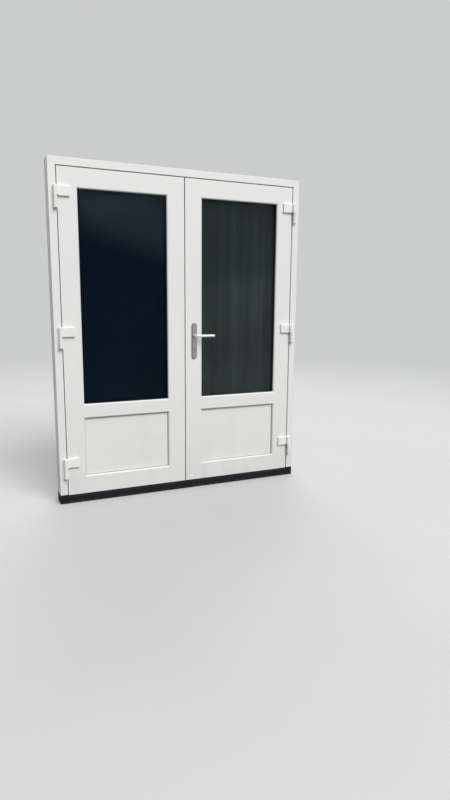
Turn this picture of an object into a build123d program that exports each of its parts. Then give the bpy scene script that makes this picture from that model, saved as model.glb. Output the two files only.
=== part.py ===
from build123d import *
import math
import os

os.makedirs("parts", exist_ok=True)

# Outward opening french doors in their welded frame, on a low threshold.
# X runs along the wall, Y into the room, Z up. The origin is the middle of the threshold's underside.
# A distance inwards from the frame's or a leaf's own edge is called an inset.
# A cut runs past the faces that it opens by the overcut.

# Outer frame
frame_width = 1720.0
frame_height = 2140.0
frame_depth = 120.0
frame_face = 46.5
stop_width = 28.0
stop_depth = 31.0
wall = 3.5
edge_radius = 2.0
overcut = 1.0
block_top = 60.0
anchor_groove_width = 6.0
anchor_groove_depth = 2.5

# Leaves
leaf_gap = 5.0
leaf_setback = 3.0
leaf_thickness = 80.0
leaf_bottom = 55.0
rail_face = 119.0
mid_rail_centre = 601.0
mid_rail_face = 92.0
flange_thickness = 15.0
flange_lap = 8.0
lip_depth = 20.0
bevel_width = 6.0
bevel_drop = 5.0

# Glass, panel and what holds them
gasket_thickness = 3.0
gasket_face = 10.0
unit_thickness = 28.0
pane_thickness = 4.0
glass_clearance = 5.0
spacer_width = 12.0
spacer_inset = 2.0
packer_length = 100.0
bead_slope = 6.0
bead_wall = 4.0
mitre_gap = 0.2

# Steel inside the profiles
steel_wall = 2.0
steel_clearance = 0.2
frame_steel_end_gap = 4.0
frame_steel_front = 30.0
frame_steel_depth = 48.0
frame_steel_inset = 6.0
sash_steel_inset = 34.0
sash_steel_cover = 8.5
glass_side_cover = 15.0

# Threshold
threshold_top = 49.0
threshold_wall = 4.0
threshold_nose = 6.0
threshold_foot_width = 8.0
threshold_foot_depth = 2.0
grip_groove_width = 3.0
grip_groove_depth = 1.0
grip_groove_pitch = 8.0

# Rebate gasket
groove_width = 4.0
groove_depth = 4.0
groove_clearance = 0.2
gasket_lip_width = 8.0
gasket_lip_radius = 2.0

# Hinges
hinge_inset = 38.0
hinge_proud = 15.0
hinge_top_gap = 111.5
hinge_foot_gap = 245.0
barrel_radius = 12.0
barrel_height = 130.0
knuckle_chamfer = 1.5
leaf_knuckle_height = 70.0
knuckle_gap = 0.5
pin_radius = 5.0
pin_clearance = 0.05
pin_end_gap = 7.0
pin_end_room = 1.0
cover_length = 73.0
cover_height = 60.0
cover_proud = 14.0
cover_wall = 2.5
cover_radius = 3.0
wing_thickness = 4.0
wing_margin = 1.5
wing_edge_gap = 3.0
bracket_width = 26.0
bracket_edge_gap = 1.5
stud_radius = 4.0
stud_length = 22.0
stud_margin = 25.0
hinge_screw_radius = 2.4
hinge_screw_head_radius = 4.3
hinge_screw_head_height = 2.0
hinge_screw_length = 18.0
hinge_screw_inset = 20.0
hinge_screw_spacing = 30.0

# Meeting of the two leaves
mullion_reach = 1.5
mullion_bevel = 2.9
mullion_bevel_start = 38.0
cover_strip_width = 24.0
cover_strip_thickness = 4.0
cover_strip_bevel = 2.0
end_cap_height = 6.0
end_recess = 1.0
strip_reach = 4.7
strip_depth = 14.0
seal_thickness = 2.5
outer_lip_reach = 8.8
inner_lip_reach = 2.0

# Lock and handles
lock_plane = -10.0
handle_offset = 3.0
lever_height = 1071.0
cylinder_spacing = 92.0
plate_width = 36.0
plate_thickness = 9.0
plate_wall = 6.0
plate_rim_radius = 3.0
collar_radius = 13.5
collar_height = 3.0
collar_chamfer = 0.8
plate_screw_margin = 15.0
plate_screw_radius = 2.5
plate_screw_head_radius = 4.4
plate_screw_head_height = 2.0
plate_screw_cover = 4.0
plate_screw_case_gap = 7.5
lever_radius = 9.5
lever_reach = 134.0
lever_stand = 48.0
lever_bend = 14.0
spindle_size = 8.0
spindle_grip = 20.0
spindle_end_gap = 2.0
follower_radius = 12.0
follower_arm = 8.0
follower_arm_width = 6.0
latch_rise = 37.0
deadbolt_drop = 49.0
bolt_thickness = 12.0
latch_height = 28.0
latch_projection = 13.0
latch_nose = 2.0
deadbolt_height = 30.0
deadbolt_throw = 14.0
bolt_body_length = 30.0
bolt_tail_length = 20.0
bolt_tail_size = 6.0
latch_lug_width = 4.0
latch_lug_play = 1.0
plug_radius = 6.75
euro_radius = 8.5
euro_width = 10.0
euro_height = 33.0
cylinder_proud = 1.5
cam_radius = 14.0
cam_thickness = 8.0
keyway_width = 1.6
keyway_height = 8.0
keyway_depth = 12.0

# Lock rail, cases and rods
rail_proud = 6.0
rail_width = 24.0
rail_wall = 2.0
rail_end_gap = 190.0
case_thickness = 16.0
case_wall = 1.5
case_back_cover = 13.0
case_above_latch = 26.0
case_below_cylinder = 42.0
pocket_clearance = 0.5
running_clearance = 0.3
rod_thickness = 3.0
rod_travel = 15.0
rod_side_gap = 1.0
rod_end_gap = 2.0
rod_tail = 10.0
crank_pin_radius = 2.0
crank_angle = 45.0
link_play = 0.6
link_lug = 3.0

# Swing hooks
hook_end_gap = 180.0
hook_radius = 29.5
hook_bore_radius = 24.5
hook_thickness = 8.0
hook_pivot_radius = 3.0
hook_hub_radius = 8.0
hook_start = 75.0
hook_span = 75.0
hook_spoke_width = 8.0
hook_spoke_turn = 10.0
hook_spoke_lap = 2.0
hook_case_height = 90.0
hook_case_depth = 42.0
hook_tip_gap = 1.0

# Keeps and flush bolts
keep_thickness = 2.5
keep_width = 22.0
keep_clearance = 0.6
keep_margin = 20.0
keep_pocket_clearance = 1.0
bolt_pocket_depth = 12.0
mullion_bolt_clearance = 0.4
flush_bolt_size = 6.0
flush_bolt_length = 180.0
flush_bolt_travel = 25.0
flush_bolt_end_gap = 0.5
flush_plate_width = 16.0
flush_plate_height = 230.0
flush_plate_start = 30.0
flush_plate_thickness = 2.0
thumb_lug_height = 10.0
thumb_lug_width = 4.0
thumb_lug_margin = 15.0
thumb_lug_clearance = 0.5
thumb_lug_recess = 0.2
end_keep_width = 20.0
end_keep_length = 30.0

# Wall fixings
fixing_radius = 5.2
fixing_inset = 13.0
fixing_first = 200.0
fixing_last = 140.0

# Places that follow from the sizes
half_width = frame_width / 2
outer_face = -frame_depth / 2
inner_face = frame_depth / 2
stop_face = inner_face - stop_depth
leaf_face = outer_face + leaf_setback
leaf_back = leaf_face + leaf_thickness
leaf_top = frame_height - frame_face - leaf_gap
leaf_edge = half_width - frame_face - leaf_gap
meeting_edge = leaf_gap / 2
body_edge = meeting_edge + flange_lap
body_low = leaf_bottom + flange_lap + end_recess
body_high = leaf_top - flange_lap - end_recess
mid_rail_bottom = mid_rail_centre - mid_rail_face / 2
mid_rail_top = mid_rail_centre + mid_rail_face / 2
lip_back = leaf_face + flange_thickness
unit_face = lip_back + gasket_thickness
unit_back = unit_face + unit_thickness
bead_front = unit_back + gasket_thickness
rebate_inset = rail_face - lip_depth
stop_inset = frame_face + stop_width
stop_lap_inset = frame_face + leaf_gap + flange_lap
seal_inset = (stop_lap_inset + stop_inset) / 2
stop_top = leaf_bottom + flange_lap + (stop_inset - stop_lap_inset)
seal_height = (leaf_bottom + flange_lap + stop_top) / 2
openings = ((mid_rail_top, leaf_top - rail_face), (leaf_bottom + rail_face, mid_rail_bottom))

grip_start = outer_face + threshold_nose + grip_groove_pitch
grip_count = int((stop_face - grip_start) / grip_groove_pitch)
grip_places = [grip_start + step * grip_groove_pitch for step in range(grip_count)]
keep_reach = end_keep_width / 2 + grip_groove_width
grip_grooves = [y for y in grip_places if abs(y - lock_plane) > keep_reach]

frame_steel_y = outer_face + frame_steel_front
frame_steel_back = frame_steel_y + frame_steel_depth
frame_steel_in = frame_face - frame_steel_inset
sash_steel_y = lip_back + sash_steel_cover
sash_steel_back = leaf_back - sash_steel_cover
sash_steel_in = rebate_inset - glass_side_cover

hinge_x = half_width - hinge_inset
hinge_y = outer_face - hinge_proud
hinge_top = leaf_top - hinge_top_gap
hinge_foot = leaf_bottom + hinge_foot_gap
hinge_tops = (hinge_top, (hinge_top + hinge_foot) / 2, hinge_foot)
bracket_thickness = hinge_proud - barrel_radius - knuckle_gap
stud_drops = (stud_margin, barrel_height - stud_margin)
hinge_screw_insets = (hinge_screw_inset, hinge_screw_inset + hinge_screw_spacing)

mullion_face = -(meeting_edge - mullion_reach)
bevel_start = leaf_back - mullion_bevel_start
rail_front = body_edge - rail_proud
rail_bottom = leaf_bottom + rail_end_gap
rail_top = leaf_top - rail_end_gap
rail_back = rail_front + rail_wall
rod_front = rail_back + running_clearance
hook_heights = (rail_bottom + hook_end_gap, rail_top - hook_end_gap)
crank_radius = rod_travel / 2 / math.sin(math.radians(crank_angle))
crank_out = crank_radius * math.cos(math.radians(crank_angle))
hook_pivot = rod_front + crank_pin_radius + crank_radius
spoke_length = hook_bore_radius + hook_spoke_lap
handle_x = meeting_edge + rail_face / 2 + handle_offset
cylinder_z = lever_height - cylinder_spacing
latch_z = lever_height + latch_rise
deadbolt_z = lever_height - deadbolt_drop
case_depth = rebate_inset - flange_lap - case_back_cover
case_bottom = cylinder_z - case_below_cylinder
case_top = latch_z + case_above_latch
screw_heights = (case_bottom - plate_screw_case_gap, case_top + plate_screw_case_gap)
plate_z = (screw_heights[0] + screw_heights[1]) / 2
plate_length = screw_heights[1] - screw_heights[0] + 2 * plate_screw_margin
head_soffit = frame_height - frame_face
bolt_x = mullion_face - flush_plate_thickness - running_clearance - flush_bolt_size / 2
keep_x = (mullion_face - body_edge) / 2
fixing_step = (frame_height - fixing_first - fixing_last) / 3
fixing_heights = [fixing_first + step * fixing_step for step in range(4)]


def chamber(inset_from, inset_to, y_from, y_to):
    """A hollow of a profile, given by its insets and depths, in a sketch whose second axis is Y."""
    with Locations(((inset_from + inset_to) / 2, (y_from + y_to) / 2)):
        Rectangle(inset_to - inset_from, abs(y_to - y_from), mode=Mode.SUBTRACT)


def block(x_from, x_to, y_from, y_to, z_from, z_to, mode=Mode.ADD):
    """A plain block between three pairs of limits."""
    with Locations(((x_from + x_to) / 2, (y_from + y_to) / 2, (z_from + z_to) / 2)):
        Box(abs(x_to - x_from), abs(y_to - y_from), abs(z_to - z_from), mode=mode)


def bar_along_y(x, z, radius, y_from, y_to, mode=Mode.ADD):
    """A round bar or hole along Y."""
    with BuildSketch(Plane(origin=(x, y_from, z), x_dir=(1, 0, 0), z_dir=(0, 1, 0))) as outline:
        Circle(radius)
    extrude(outline.sketch, amount=y_to - y_from, mode=mode)


def bar_along_z(x, y, radius, z_from, z_to, mode=Mode.ADD):
    """A round bar or hole along Z."""
    with BuildSketch(Plane.XY.offset(z_from)) as outline:
        with Locations((x, y)):
            Circle(radius)
    extrude(outline.sketch, amount=z_to - z_from, mode=mode)


def knuckle(x, free_end, joint):
    """A hinge knuckle from its chamfered free end to its joint with the other knuckle."""
    low, high = sorted((free_end, joint))
    with BuildPart(mode=Mode.PRIVATE) as barrel:
        bar_along_z(x, hinge_y, barrel_radius, low, high)
        chamfer(barrel.faces().sort_by(Axis.Z)[0 if free_end < joint else -1].edges(), knuckle_chamfer)
    add(barrel.part)


def prism(points, z_from, z_to, mode=Mode.ADD):
    """An upright prism on an outline in X and Y."""
    with BuildSketch(Plane.XY.offset(z_from)) as outline:
        with BuildLine():
            Polyline(*points, close=True)
        make_face()
    extrude(outline.sketch, amount=z_to - z_from, mode=mode)


def ring(x, z, width, height, face, y_from, y_to):
    """A flat frame with square corners round an opening, its face measured outwards from the opening."""
    with BuildSketch(Plane(origin=(x, y_from, z), x_dir=(1, 0, 0), z_dir=(0, 1, 0))) as outline:
        Rectangle(width + 2 * face, height + 2 * face)
        Rectangle(width, height, mode=Mode.SUBTRACT)
    extrude(outline.sketch, amount=y_to - y_from)


def euro_profile(clearance, y_from, y_to, mode=Mode.ADD):
    """The keyhole shape of a profile cylinder under its plug's axis."""
    drop = euro_height - euro_radius - euro_width / 2
    axis = Plane(origin=(handle_x, y_from, cylinder_z), x_dir=(-1, 0, 0), z_dir=(0, 1, 0))
    with BuildSketch(axis) as outline:
        Circle(euro_radius + clearance)
        with Locations((0, -drop / 2)):
            Rectangle(euro_width + 2 * clearance, drop)
        with Locations((0, -drop)):
            Circle(euro_width / 2 + clearance)
    extrude(outline.sketch, amount=y_to - y_from, mode=mode)


def long_plate(y_from, y_to, shrink=0.0):
    """A backplate's outline, straight sides with half round ends."""
    centre = Plane(origin=(handle_x, y_from, plate_z), x_dir=(-1, 0, 0), z_dir=(0, 1, 0))
    with BuildSketch(centre) as outline:
        SlotOverall(plate_length - 2 * shrink, plate_width - 2 * shrink, rotation=90)
    extrude(outline.sketch, amount=y_to - y_from)


def bolt_hole(x_from, x_to, z_from, z_to, clearance):
    """Room for a flush bolt through whatever it passes."""
    half = flush_bolt_size / 2 + clearance
    block(x_from, x_to, lock_plane - half, lock_plane + half, z_from, z_to, Mode.SUBTRACT)


def pockets_for_lock():
    """Room in the active leaf for the lock's case, its hook cases, the handles' shafts and screws."""
    half = case_thickness / 2 + pocket_clearance
    low, high = lock_plane - half, lock_plane + half
    block(meeting_edge, body_edge + case_depth + pocket_clearance, low, high,
          case_bottom - pocket_clearance, case_top + pocket_clearance, Mode.SUBTRACT)
    for height in hook_heights:
        reach = hook_case_height / 2 + pocket_clearance
        block(meeting_edge, body_edge + hook_case_depth + pocket_clearance, low, high,
              height - reach, height + reach, Mode.SUBTRACT)
    front, back = leaf_face - overcut, leaf_back + overcut
    bar_along_y(handle_x, lever_height, follower_radius, front, back, Mode.SUBTRACT)
    euro_profile(pocket_clearance, front, back, Mode.SUBTRACT)
    for height in screw_heights:
        bar_along_y(handle_x, height, plate_screw_radius + pocket_clearance, front, back, Mode.SUBTRACT)


# Welded outer frame, two jambs and a head mitred at the corners
with BuildPart() as outer_frame:
    with BuildLine() as path:
        Polyline((-half_width, 0, block_top), (-half_width, 0, frame_height),
                 (half_width, 0, frame_height), (half_width, 0, block_top))
    with BuildSketch(Plane(origin=(-half_width, 0, block_top), x_dir=(1, 0, 0), z_dir=(0, 0, 1))) as section:
        with BuildLine():
            Polyline((0, outer_face), (frame_face, outer_face), (frame_face, stop_face),
                     (stop_inset, stop_face), (stop_inset, inner_face), (0, inner_face), close=True)
        make_face()
        for face in (outer_face, inner_face):
            fillet(section.vertices().filter_by_position(Axis.Y, face - edge_radius, face + edge_radius),
                   edge_radius)
        chamber(frame_steel_inset, frame_steel_in, frame_steel_y, frame_steel_back)
        chamber(wall, frame_face - wall, outer_face + wall, frame_steel_y - wall)
        chamber(wall, frame_face - wall, frame_steel_back + wall, stop_face)
        chamber(wall, stop_inset - wall, stop_face + groove_depth + wall, inner_face - wall)
        chamber(seal_inset - groove_width / 2, seal_inset + groove_width / 2, stop_face,
                stop_face + groove_depth)
        for groove in (frame_steel_y, frame_steel_back):
            chamber(0, anchor_groove_depth, groove - anchor_groove_width / 2,
                    groove + anchor_groove_width / 2)
    sweep(path=path.wires()[0], transition=Transition.RIGHT)
    for side in (-1, 1):
        for top in hinge_tops:
            for drop in stud_drops:
                bar_along_y(side * hinge_x, top - drop, stud_radius, outer_face, outer_face + wall + overcut,
                            Mode.SUBTRACT)
        for height in fixing_heights:
            with BuildSketch(Plane.YZ.offset(side * half_width)):
                with Locations((inner_face - fixing_inset, height)):
                    Circle(fixing_radius)
            extrude(amount=-side * stop_inset, mode=Mode.SUBTRACT)
        block(side * (half_width - stop_inset), side * (half_width - seal_inset), stop_face,
              stop_face + groove_depth, seal_height - groove_width / 2, seal_height + groove_width / 2,
              Mode.SUBTRACT)
    bolt_hole(-body_edge, mullion_face, head_soffit - overcut, head_soffit + bolt_pocket_depth,
              keep_pocket_clearance)
outer_frame.part.label = "outer_frame"
export_step(outer_frame.part, "parts/outer_frame.step")

# Steel tubes inside the jambs and the head
with BuildPart() as frame_steel:
    gap = steel_clearance
    front, back = frame_steel_y + gap, frame_steel_back - gap
    low, high = frame_height - frame_steel_in + gap, frame_height - frame_steel_inset - gap
    for side in (-1, 1):
        x_out = side * (half_width - frame_steel_inset - gap)
        x_in = side * (half_width - frame_steel_in + gap)
        block(x_out, x_in, front, back, block_top + frame_steel_end_gap, high)
        block(x_out - side * steel_wall, x_in + side * steel_wall, front + steel_wall, back - steel_wall,
              block_top, frame_height, Mode.SUBTRACT)
    reach = half_width - frame_steel_in - gap
    block(-reach, reach, front, back, low, high)
    block(-reach - overcut, reach + overcut, front + steel_wall, back - steel_wall, low + steel_wall,
          high - steel_wall, Mode.SUBTRACT)
    bolt_hole(-body_edge - keep_pocket_clearance, mullion_face + keep_pocket_clearance, low - overcut,
              low + steel_wall + overcut, 2 * keep_pocket_clearance)
frame_steel.part.label = "frame_steel"
export_step(frame_steel.part, "parts/frame_steel.step")

# Threshold, its stop leg cut away under the jambs
with BuildPart() as threshold:
    with BuildSketch(Plane.YZ.offset(-half_width)):
        with BuildLine():
            Polyline((outer_face, 0), (inner_face, 0), (inner_face, stop_top), (stop_face, stop_top),
                     (stop_face, threshold_top), (outer_face + threshold_nose, threshold_top),
                     (outer_face, threshold_top - threshold_nose), close=True)
        make_face()
        middle = (outer_face + stop_face) / 2
        hollow_top = threshold_top - threshold_nose - threshold_wall
        rear = stop_face + groove_depth + threshold_wall
        for y_from, y_to, top in ((outer_face + threshold_wall, middle - threshold_wall / 2, hollow_top),
                                  (middle + threshold_wall / 2, rear - 2 * threshold_wall, hollow_top),
                                  (rear, inner_face - threshold_wall, stop_top - threshold_wall)):
            with Locations(((y_from + y_to) / 2, (threshold_wall + top) / 2)):
                Rectangle(y_to - y_from, top - threshold_wall, mode=Mode.SUBTRACT)
        with Locations((stop_face + groove_depth / 2, seal_height)):
            Rectangle(groove_depth, groove_width, mode=Mode.SUBTRACT)
        for foot in (outer_face / 2, inner_face / 2):
            with Locations((foot, threshold_foot_depth / 2)):
                Rectangle(threshold_foot_width, threshold_foot_depth, mode=Mode.SUBTRACT)
        for groove in grip_grooves:
            with Locations((groove, threshold_top - grip_groove_depth / 2)):
                Rectangle(grip_groove_width, grip_groove_depth, mode=Mode.SUBTRACT)
    extrude(amount=frame_width)
    for side in (-1, 1):
        block(side * half_width, side * (half_width - stop_inset), outer_face, inner_face,
              threshold_top, stop_top, Mode.SUBTRACT)
        block(side * half_width, side * (half_width - frame_face), outer_face, outer_face + threshold_nose,
              threshold_top - threshold_nose, threshold_top, Mode.SUBTRACT)
    bolt_hole(-body_edge, mullion_face, threshold_top - keep_thickness - bolt_pocket_depth, threshold_top,
              keep_pocket_clearance)
    block(keep_x - end_keep_length / 2, keep_x + end_keep_length / 2, lock_plane - end_keep_width / 2,
          lock_plane + end_keep_width / 2, threshold_top - keep_thickness, threshold_top + overcut,
          Mode.SUBTRACT)
threshold.part.label = "threshold"
export_step(threshold.part, "parts/threshold.step")

with BuildPart() as threshold_end_blocks:
    for side in (-1, 1):
        outer, face, stop = (side * (half_width - inset) for inset in (0, frame_face, stop_inset))
        prism([(outer, outer_face), (face, outer_face), (face, stop_face), (stop, stop_face),
               (stop, inner_face), (outer, inner_face)], threshold_top, block_top)
        block(outer, face, outer_face, outer_face + threshold_nose, threshold_top - threshold_nose,
              threshold_top)
threshold_end_blocks.part.label = "threshold_end_blocks"
export_step(threshold_end_blocks.part, "parts/threshold_end_blocks.step")

# Rebate gasket, once round the stop, its foot in the groove
with BuildPart() as rebate_gasket:
    top = frame_height - seal_inset
    span, rise = 2 * (half_width - seal_inset), top - seal_height
    foot = groove_width - 2 * groove_clearance
    for width, y_from, y_to in ((foot, stop_face, stop_face + groove_depth - 2 * groove_clearance),
                                (gasket_lip_width, leaf_back + running_clearance, stop_face)):
        ring(0, (seal_height + top) / 2, span - width, rise - width, width, y_from, y_to)
    fillet(rebate_gasket.faces().sort_by(Axis.Y)[0].edges(), gasket_lip_radius)
rebate_gasket.part.label = "rebate_gasket"
export_step(rebate_gasket.part, "parts/rebate_gasket.step")

# Keeps of the flush bolts, under the head and flush in the threshold
for name, low in (("head_bolt_keep", head_soffit - keep_thickness),
                  ("threshold_bolt_keep", threshold_top - keep_thickness)):
    with BuildPart() as bolt_keep:
        block(keep_x - end_keep_length / 2, keep_x + end_keep_length / 2, lock_plane - end_keep_width / 2,
              lock_plane + end_keep_width / 2, low, low + keep_thickness)
        bolt_hole(-body_edge, mullion_face, low - overcut, low + keep_thickness + overcut,
                  keep_pocket_clearance)
    bolt_keep.part.label = name
    export_step(bolt_keep.part, f"parts/{name}.step")

# Hinges: a bracket with the lower knuckle on the jamb, a wing with the upper knuckle on the leaf
wing_start = leaf_edge - wing_edge_gap
wing_end = leaf_edge - cover_length + cover_wall + wing_margin
wing_face = leaf_face - wing_thickness
for hand, side in (("left", -1), ("right", 1)):
    with BuildPart() as frame_hinge_parts:
        for top in hinge_tops:
            low, high = top - barrel_height, top - leaf_knuckle_height - knuckle_gap
            x_near = side * (half_width - frame_face + bracket_edge_gap)
            block(x_near, x_near + side * bracket_width, outer_face - bracket_thickness, outer_face, low,
                  top)
            knuckle(side * hinge_x, low, high)
            block(side * hinge_x - stud_radius, side * hinge_x + stud_radius, hinge_y,
                  outer_face - bracket_thickness, low + knuckle_chamfer, high)
            for drop in stud_drops:
                bar_along_y(side * hinge_x, top - drop, stud_radius, outer_face - bracket_thickness,
                            outer_face + stud_length)
            bar_along_z(side * hinge_x, hinge_y, pin_radius, low, high, Mode.SUBTRACT)
    frame_hinge_parts.part.label = f"{hand}_frame_hinge_parts"
    export_step(frame_hinge_parts.part, f"parts/{hand}_frame_hinge_parts.step")

    with BuildPart() as leaf_hinge_parts:
        for top in hinge_tops:
            split, flap = top - leaf_knuckle_height, top - cover_height
            margin = cover_wall + wing_margin
            knuckle(side * hinge_x, top, split)
            prism([(side * hinge_x, hinge_y - barrel_radius), (side * wing_start, hinge_y - barrel_radius),
                   (side * wing_start, wing_face), (side * wing_end, wing_face),
                   (side * wing_end, leaf_face), (side * (leaf_edge - knuckle_gap), leaf_face),
                   (side * (leaf_edge - knuckle_gap), hinge_y)],
                  flap + margin, top - margin)
            for inset in hinge_screw_insets:
                bar_along_y(side * (leaf_edge - inset), (flap + top) / 2,
                            hinge_screw_radius + pin_clearance, wing_face, leaf_face, Mode.SUBTRACT)
            bar_along_z(side * hinge_x, hinge_y, pin_radius + pin_clearance, split,
                        top - pin_end_gap + pin_end_room, Mode.SUBTRACT)
    leaf_hinge_parts.part.label = f"{hand}_leaf_hinge_parts"
    export_step(leaf_hinge_parts.part, f"parts/{hand}_leaf_hinge_parts.step")

    with BuildPart() as hinge_covers:
        x_near, x_far = side * (leaf_edge - cover_length), side * (wing_start - knuckle_gap)
        cover_face = leaf_face - cover_proud
        for top in hinge_tops:
            flap = top - cover_height
            with BuildPart(mode=Mode.PRIVATE) as shell:
                block(x_near, x_far, cover_face, leaf_face, flap, top)
                fillet(shell.faces().sort_by(Axis.Y)[0].edges(), cover_radius)
                block(x_near + side * cover_wall, x_far + side * overcut, cover_face + cover_wall,
                      leaf_face + overcut, flap + cover_wall, top - cover_wall, Mode.SUBTRACT)
            add(shell.part)
    hinge_covers.part.label = f"{hand}_hinge_covers"
    export_step(hinge_covers.part, f"parts/{hand}_hinge_covers.step")

    with BuildPart() as hinge_screws:
        for top in hinge_tops:
            for inset in hinge_screw_insets:
                x, z = side * (leaf_edge - inset), top - cover_height / 2
                bar_along_y(x, z, hinge_screw_radius, wing_face, wing_face + hinge_screw_length)
                bar_along_y(x, z, hinge_screw_head_radius, wing_face - hinge_screw_head_height, wing_face)
    hinge_screws.part.label = f"{hand}_hinge_screws"
    export_step(hinge_screws.part, f"parts/{hand}_hinge_screws.step")

with BuildPart() as hinge_pins:
    for side in (-1, 1):
        for top in hinge_tops:
            bar_along_z(side * hinge_x, hinge_y, pin_radius, top - barrel_height + pin_end_gap,
                        top - pin_end_gap)
hinge_pins.part.label = "hinge_pins"
export_step(hinge_pins.part, "parts/hinge_pins.step")

# What both leaves have
for hand, side in (("left", -1), ("right", 1)):
    near, far = side * (meeting_edge + rail_face), side * (leaf_edge - rail_face)
    centre = (near + far) / 2
    opening_width = abs(far - near)

    # Sash: welded profiles with a bevelled lip in front of the glass and a rebate behind it
    with BuildPart() as sash:
        x_low, x_high = sorted((side * meeting_edge, side * leaf_edge))
        with BuildLine() as path:
            Polyline((centre, 0, leaf_bottom), (x_high, 0, leaf_bottom), (x_high, 0, leaf_top),
                     (x_low, 0, leaf_top), (x_low, 0, leaf_bottom), (centre, 0, leaf_bottom))
        start = Plane(origin=(centre, 0, leaf_bottom), x_dir=(0, 0, 1), z_dir=(1, 0, 0))
        with BuildSketch(start) as section:
            with BuildLine():
                Polyline((0, -leaf_face), (rail_face - bevel_width, -leaf_face),
                         (rail_face, -leaf_face - bevel_drop), (rail_face, -lip_back),
                         (rebate_inset, -lip_back), (rebate_inset, -leaf_back),
                         (flange_lap, -leaf_back), (flange_lap, -lip_back), (0, -lip_back), close=True)
            make_face()
            corner = section.vertices().sort_by(Axis.X)[0:2].sort_by(Axis.Y)[-1]
            fillet(corner, edge_radius)
            chamber(sash_steel_inset, sash_steel_in, -sash_steel_back, -sash_steel_y)
            chamber(flange_lap + wall, rebate_inset - wall, -sash_steel_y + wall, -leaf_face - wall)
            chamber(flange_lap + 2 * wall, sash_steel_inset - wall, -leaf_back + wall, -sash_steel_y)
            chamber(sash_steel_in + wall, rebate_inset - wall, -leaf_back + wall, -sash_steel_y)
        sweep(path=path.wires()[0], transition=Transition.RIGHT)
        low, high = mid_rail_bottom, mid_rail_top
        with BuildSketch(Plane.YZ.offset(centre - opening_width / 2 - lip_depth)):
            with BuildLine():
                Polyline((leaf_face, low + bevel_width), (leaf_face, high - bevel_width),
                         (leaf_face + bevel_drop, high), (lip_back, high), (lip_back, high - lip_depth),
                         (leaf_back, high - lip_depth), (leaf_back, low + lip_depth),
                         (lip_back, low + lip_depth), (lip_back, low), (leaf_face + bevel_drop, low),
                         close=True)
            make_face()
            with Locations(((sash_steel_y + sash_steel_back) / 2, mid_rail_centre)):
                Rectangle(sash_steel_back - sash_steel_y, mid_rail_face - 2 * lip_depth - 2 * wall,
                          mode=Mode.SUBTRACT)
        extrude(amount=opening_width + 2 * lip_depth)
        for top in hinge_tops:
            for inset in hinge_screw_insets:
                bar_along_y(side * (leaf_edge - inset), top - cover_height / 2,
                            hinge_screw_radius + pin_clearance, leaf_face, leaf_face + wall + overcut,
                            Mode.SUBTRACT)
        if side > 0:
            pockets_for_lock()
    sash.part.label = f"{hand}_sash"
    export_step(sash.part, f"parts/{hand}_sash.step")

    # Steel tubes: two stiles, top, bottom and middle rail
    with BuildPart() as sash_steel:
        gap = steel_clearance
        front, back = sash_steel_y + gap, sash_steel_back - gap
        outer, inner = sash_steel_inset + gap, sash_steel_in - gap
        for x_out, x_in in ((meeting_edge + outer, meeting_edge + inner),
                            (leaf_edge - inner, leaf_edge - outer)):
            block(side * x_out, side * x_in, front, back, leaf_bottom + outer, leaf_top - outer)
            block(side * (x_out + steel_wall), side * (x_in - steel_wall), front + steel_wall,
                  back - steel_wall, leaf_bottom, leaf_top, Mode.SUBTRACT)
        rail_from, rail_to = meeting_edge + sash_steel_in + gap, leaf_edge - sash_steel_in - gap
        mid_from, mid_to = meeting_edge + rebate_inset + gap, leaf_edge - rebate_inset - gap
        mid_half = mid_rail_face / 2 - lip_depth - wall - gap
        for x_from, x_to, low, high in (
                (rail_from, rail_to, leaf_bottom + outer, leaf_bottom + inner),
                (rail_from, rail_to, leaf_top - inner, leaf_top - outer),
                (mid_from, mid_to, mid_rail_centre - mid_half, mid_rail_centre + mid_half)):
            block(side * x_from, side * x_to, front, back, low, high)
            block(side * (x_from - gap / 2), side * (x_to + gap / 2), front + steel_wall, back - steel_wall,
                  low + steel_wall, high - steel_wall, Mode.SUBTRACT)
        if side > 0:
            pockets_for_lock()
    sash_steel.part.label = f"{hand}_sash_steel"
    export_step(sash_steel.part, f"parts/{hand}_sash_steel.step")

    # Sealed unit
    seat = lip_depth - glass_clearance
    glass_width = opening_width + 2 * seat
    glass_height = openings[0][1] - openings[0][0] + 2 * seat
    glass_middle = (openings[0][0] + openings[0][1]) / 2
    with BuildPart() as outer_pane:
        with Locations((centre, unit_face + pane_thickness / 2, glass_middle)):
            Box(glass_width, pane_thickness, glass_height)
    outer_pane.part.label = f"{hand}_outer_pane"
    export_step(outer_pane.part, f"parts/{hand}_outer_pane.step")

    with BuildPart() as inner_pane:
        with Locations((centre, unit_back - pane_thickness / 2, glass_middle)):
            Box(glass_width, pane_thickness, glass_height)
    inner_pane.part.label = f"{hand}_inner_pane"
    export_step(inner_pane.part, f"parts/{hand}_inner_pane.step")

    with BuildPart() as pane_spacer:
        edge = 2 * (spacer_inset + spacer_width)
        ring(centre, glass_middle, glass_width - edge, glass_height - edge, spacer_width,
             unit_face + pane_thickness, unit_back - pane_thickness)
    pane_spacer.part.label = f"{hand}_pane_spacer"
    export_step(pane_spacer.part, f"parts/{hand}_pane_spacer.step")

    # Plain panel in the lower opening, as thick as the sealed unit
    panel_height = openings[1][1] - openings[1][0] + 2 * seat
    with BuildPart() as panel:
        with Locations((centre, (unit_face + unit_back) / 2, (openings[1][0] + openings[1][1]) / 2)):
            Box(glass_width, unit_thickness, panel_height)
    panel.part.label = f"{hand}_panel"
    export_step(panel.part, f"parts/{hand}_panel.step")

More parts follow.
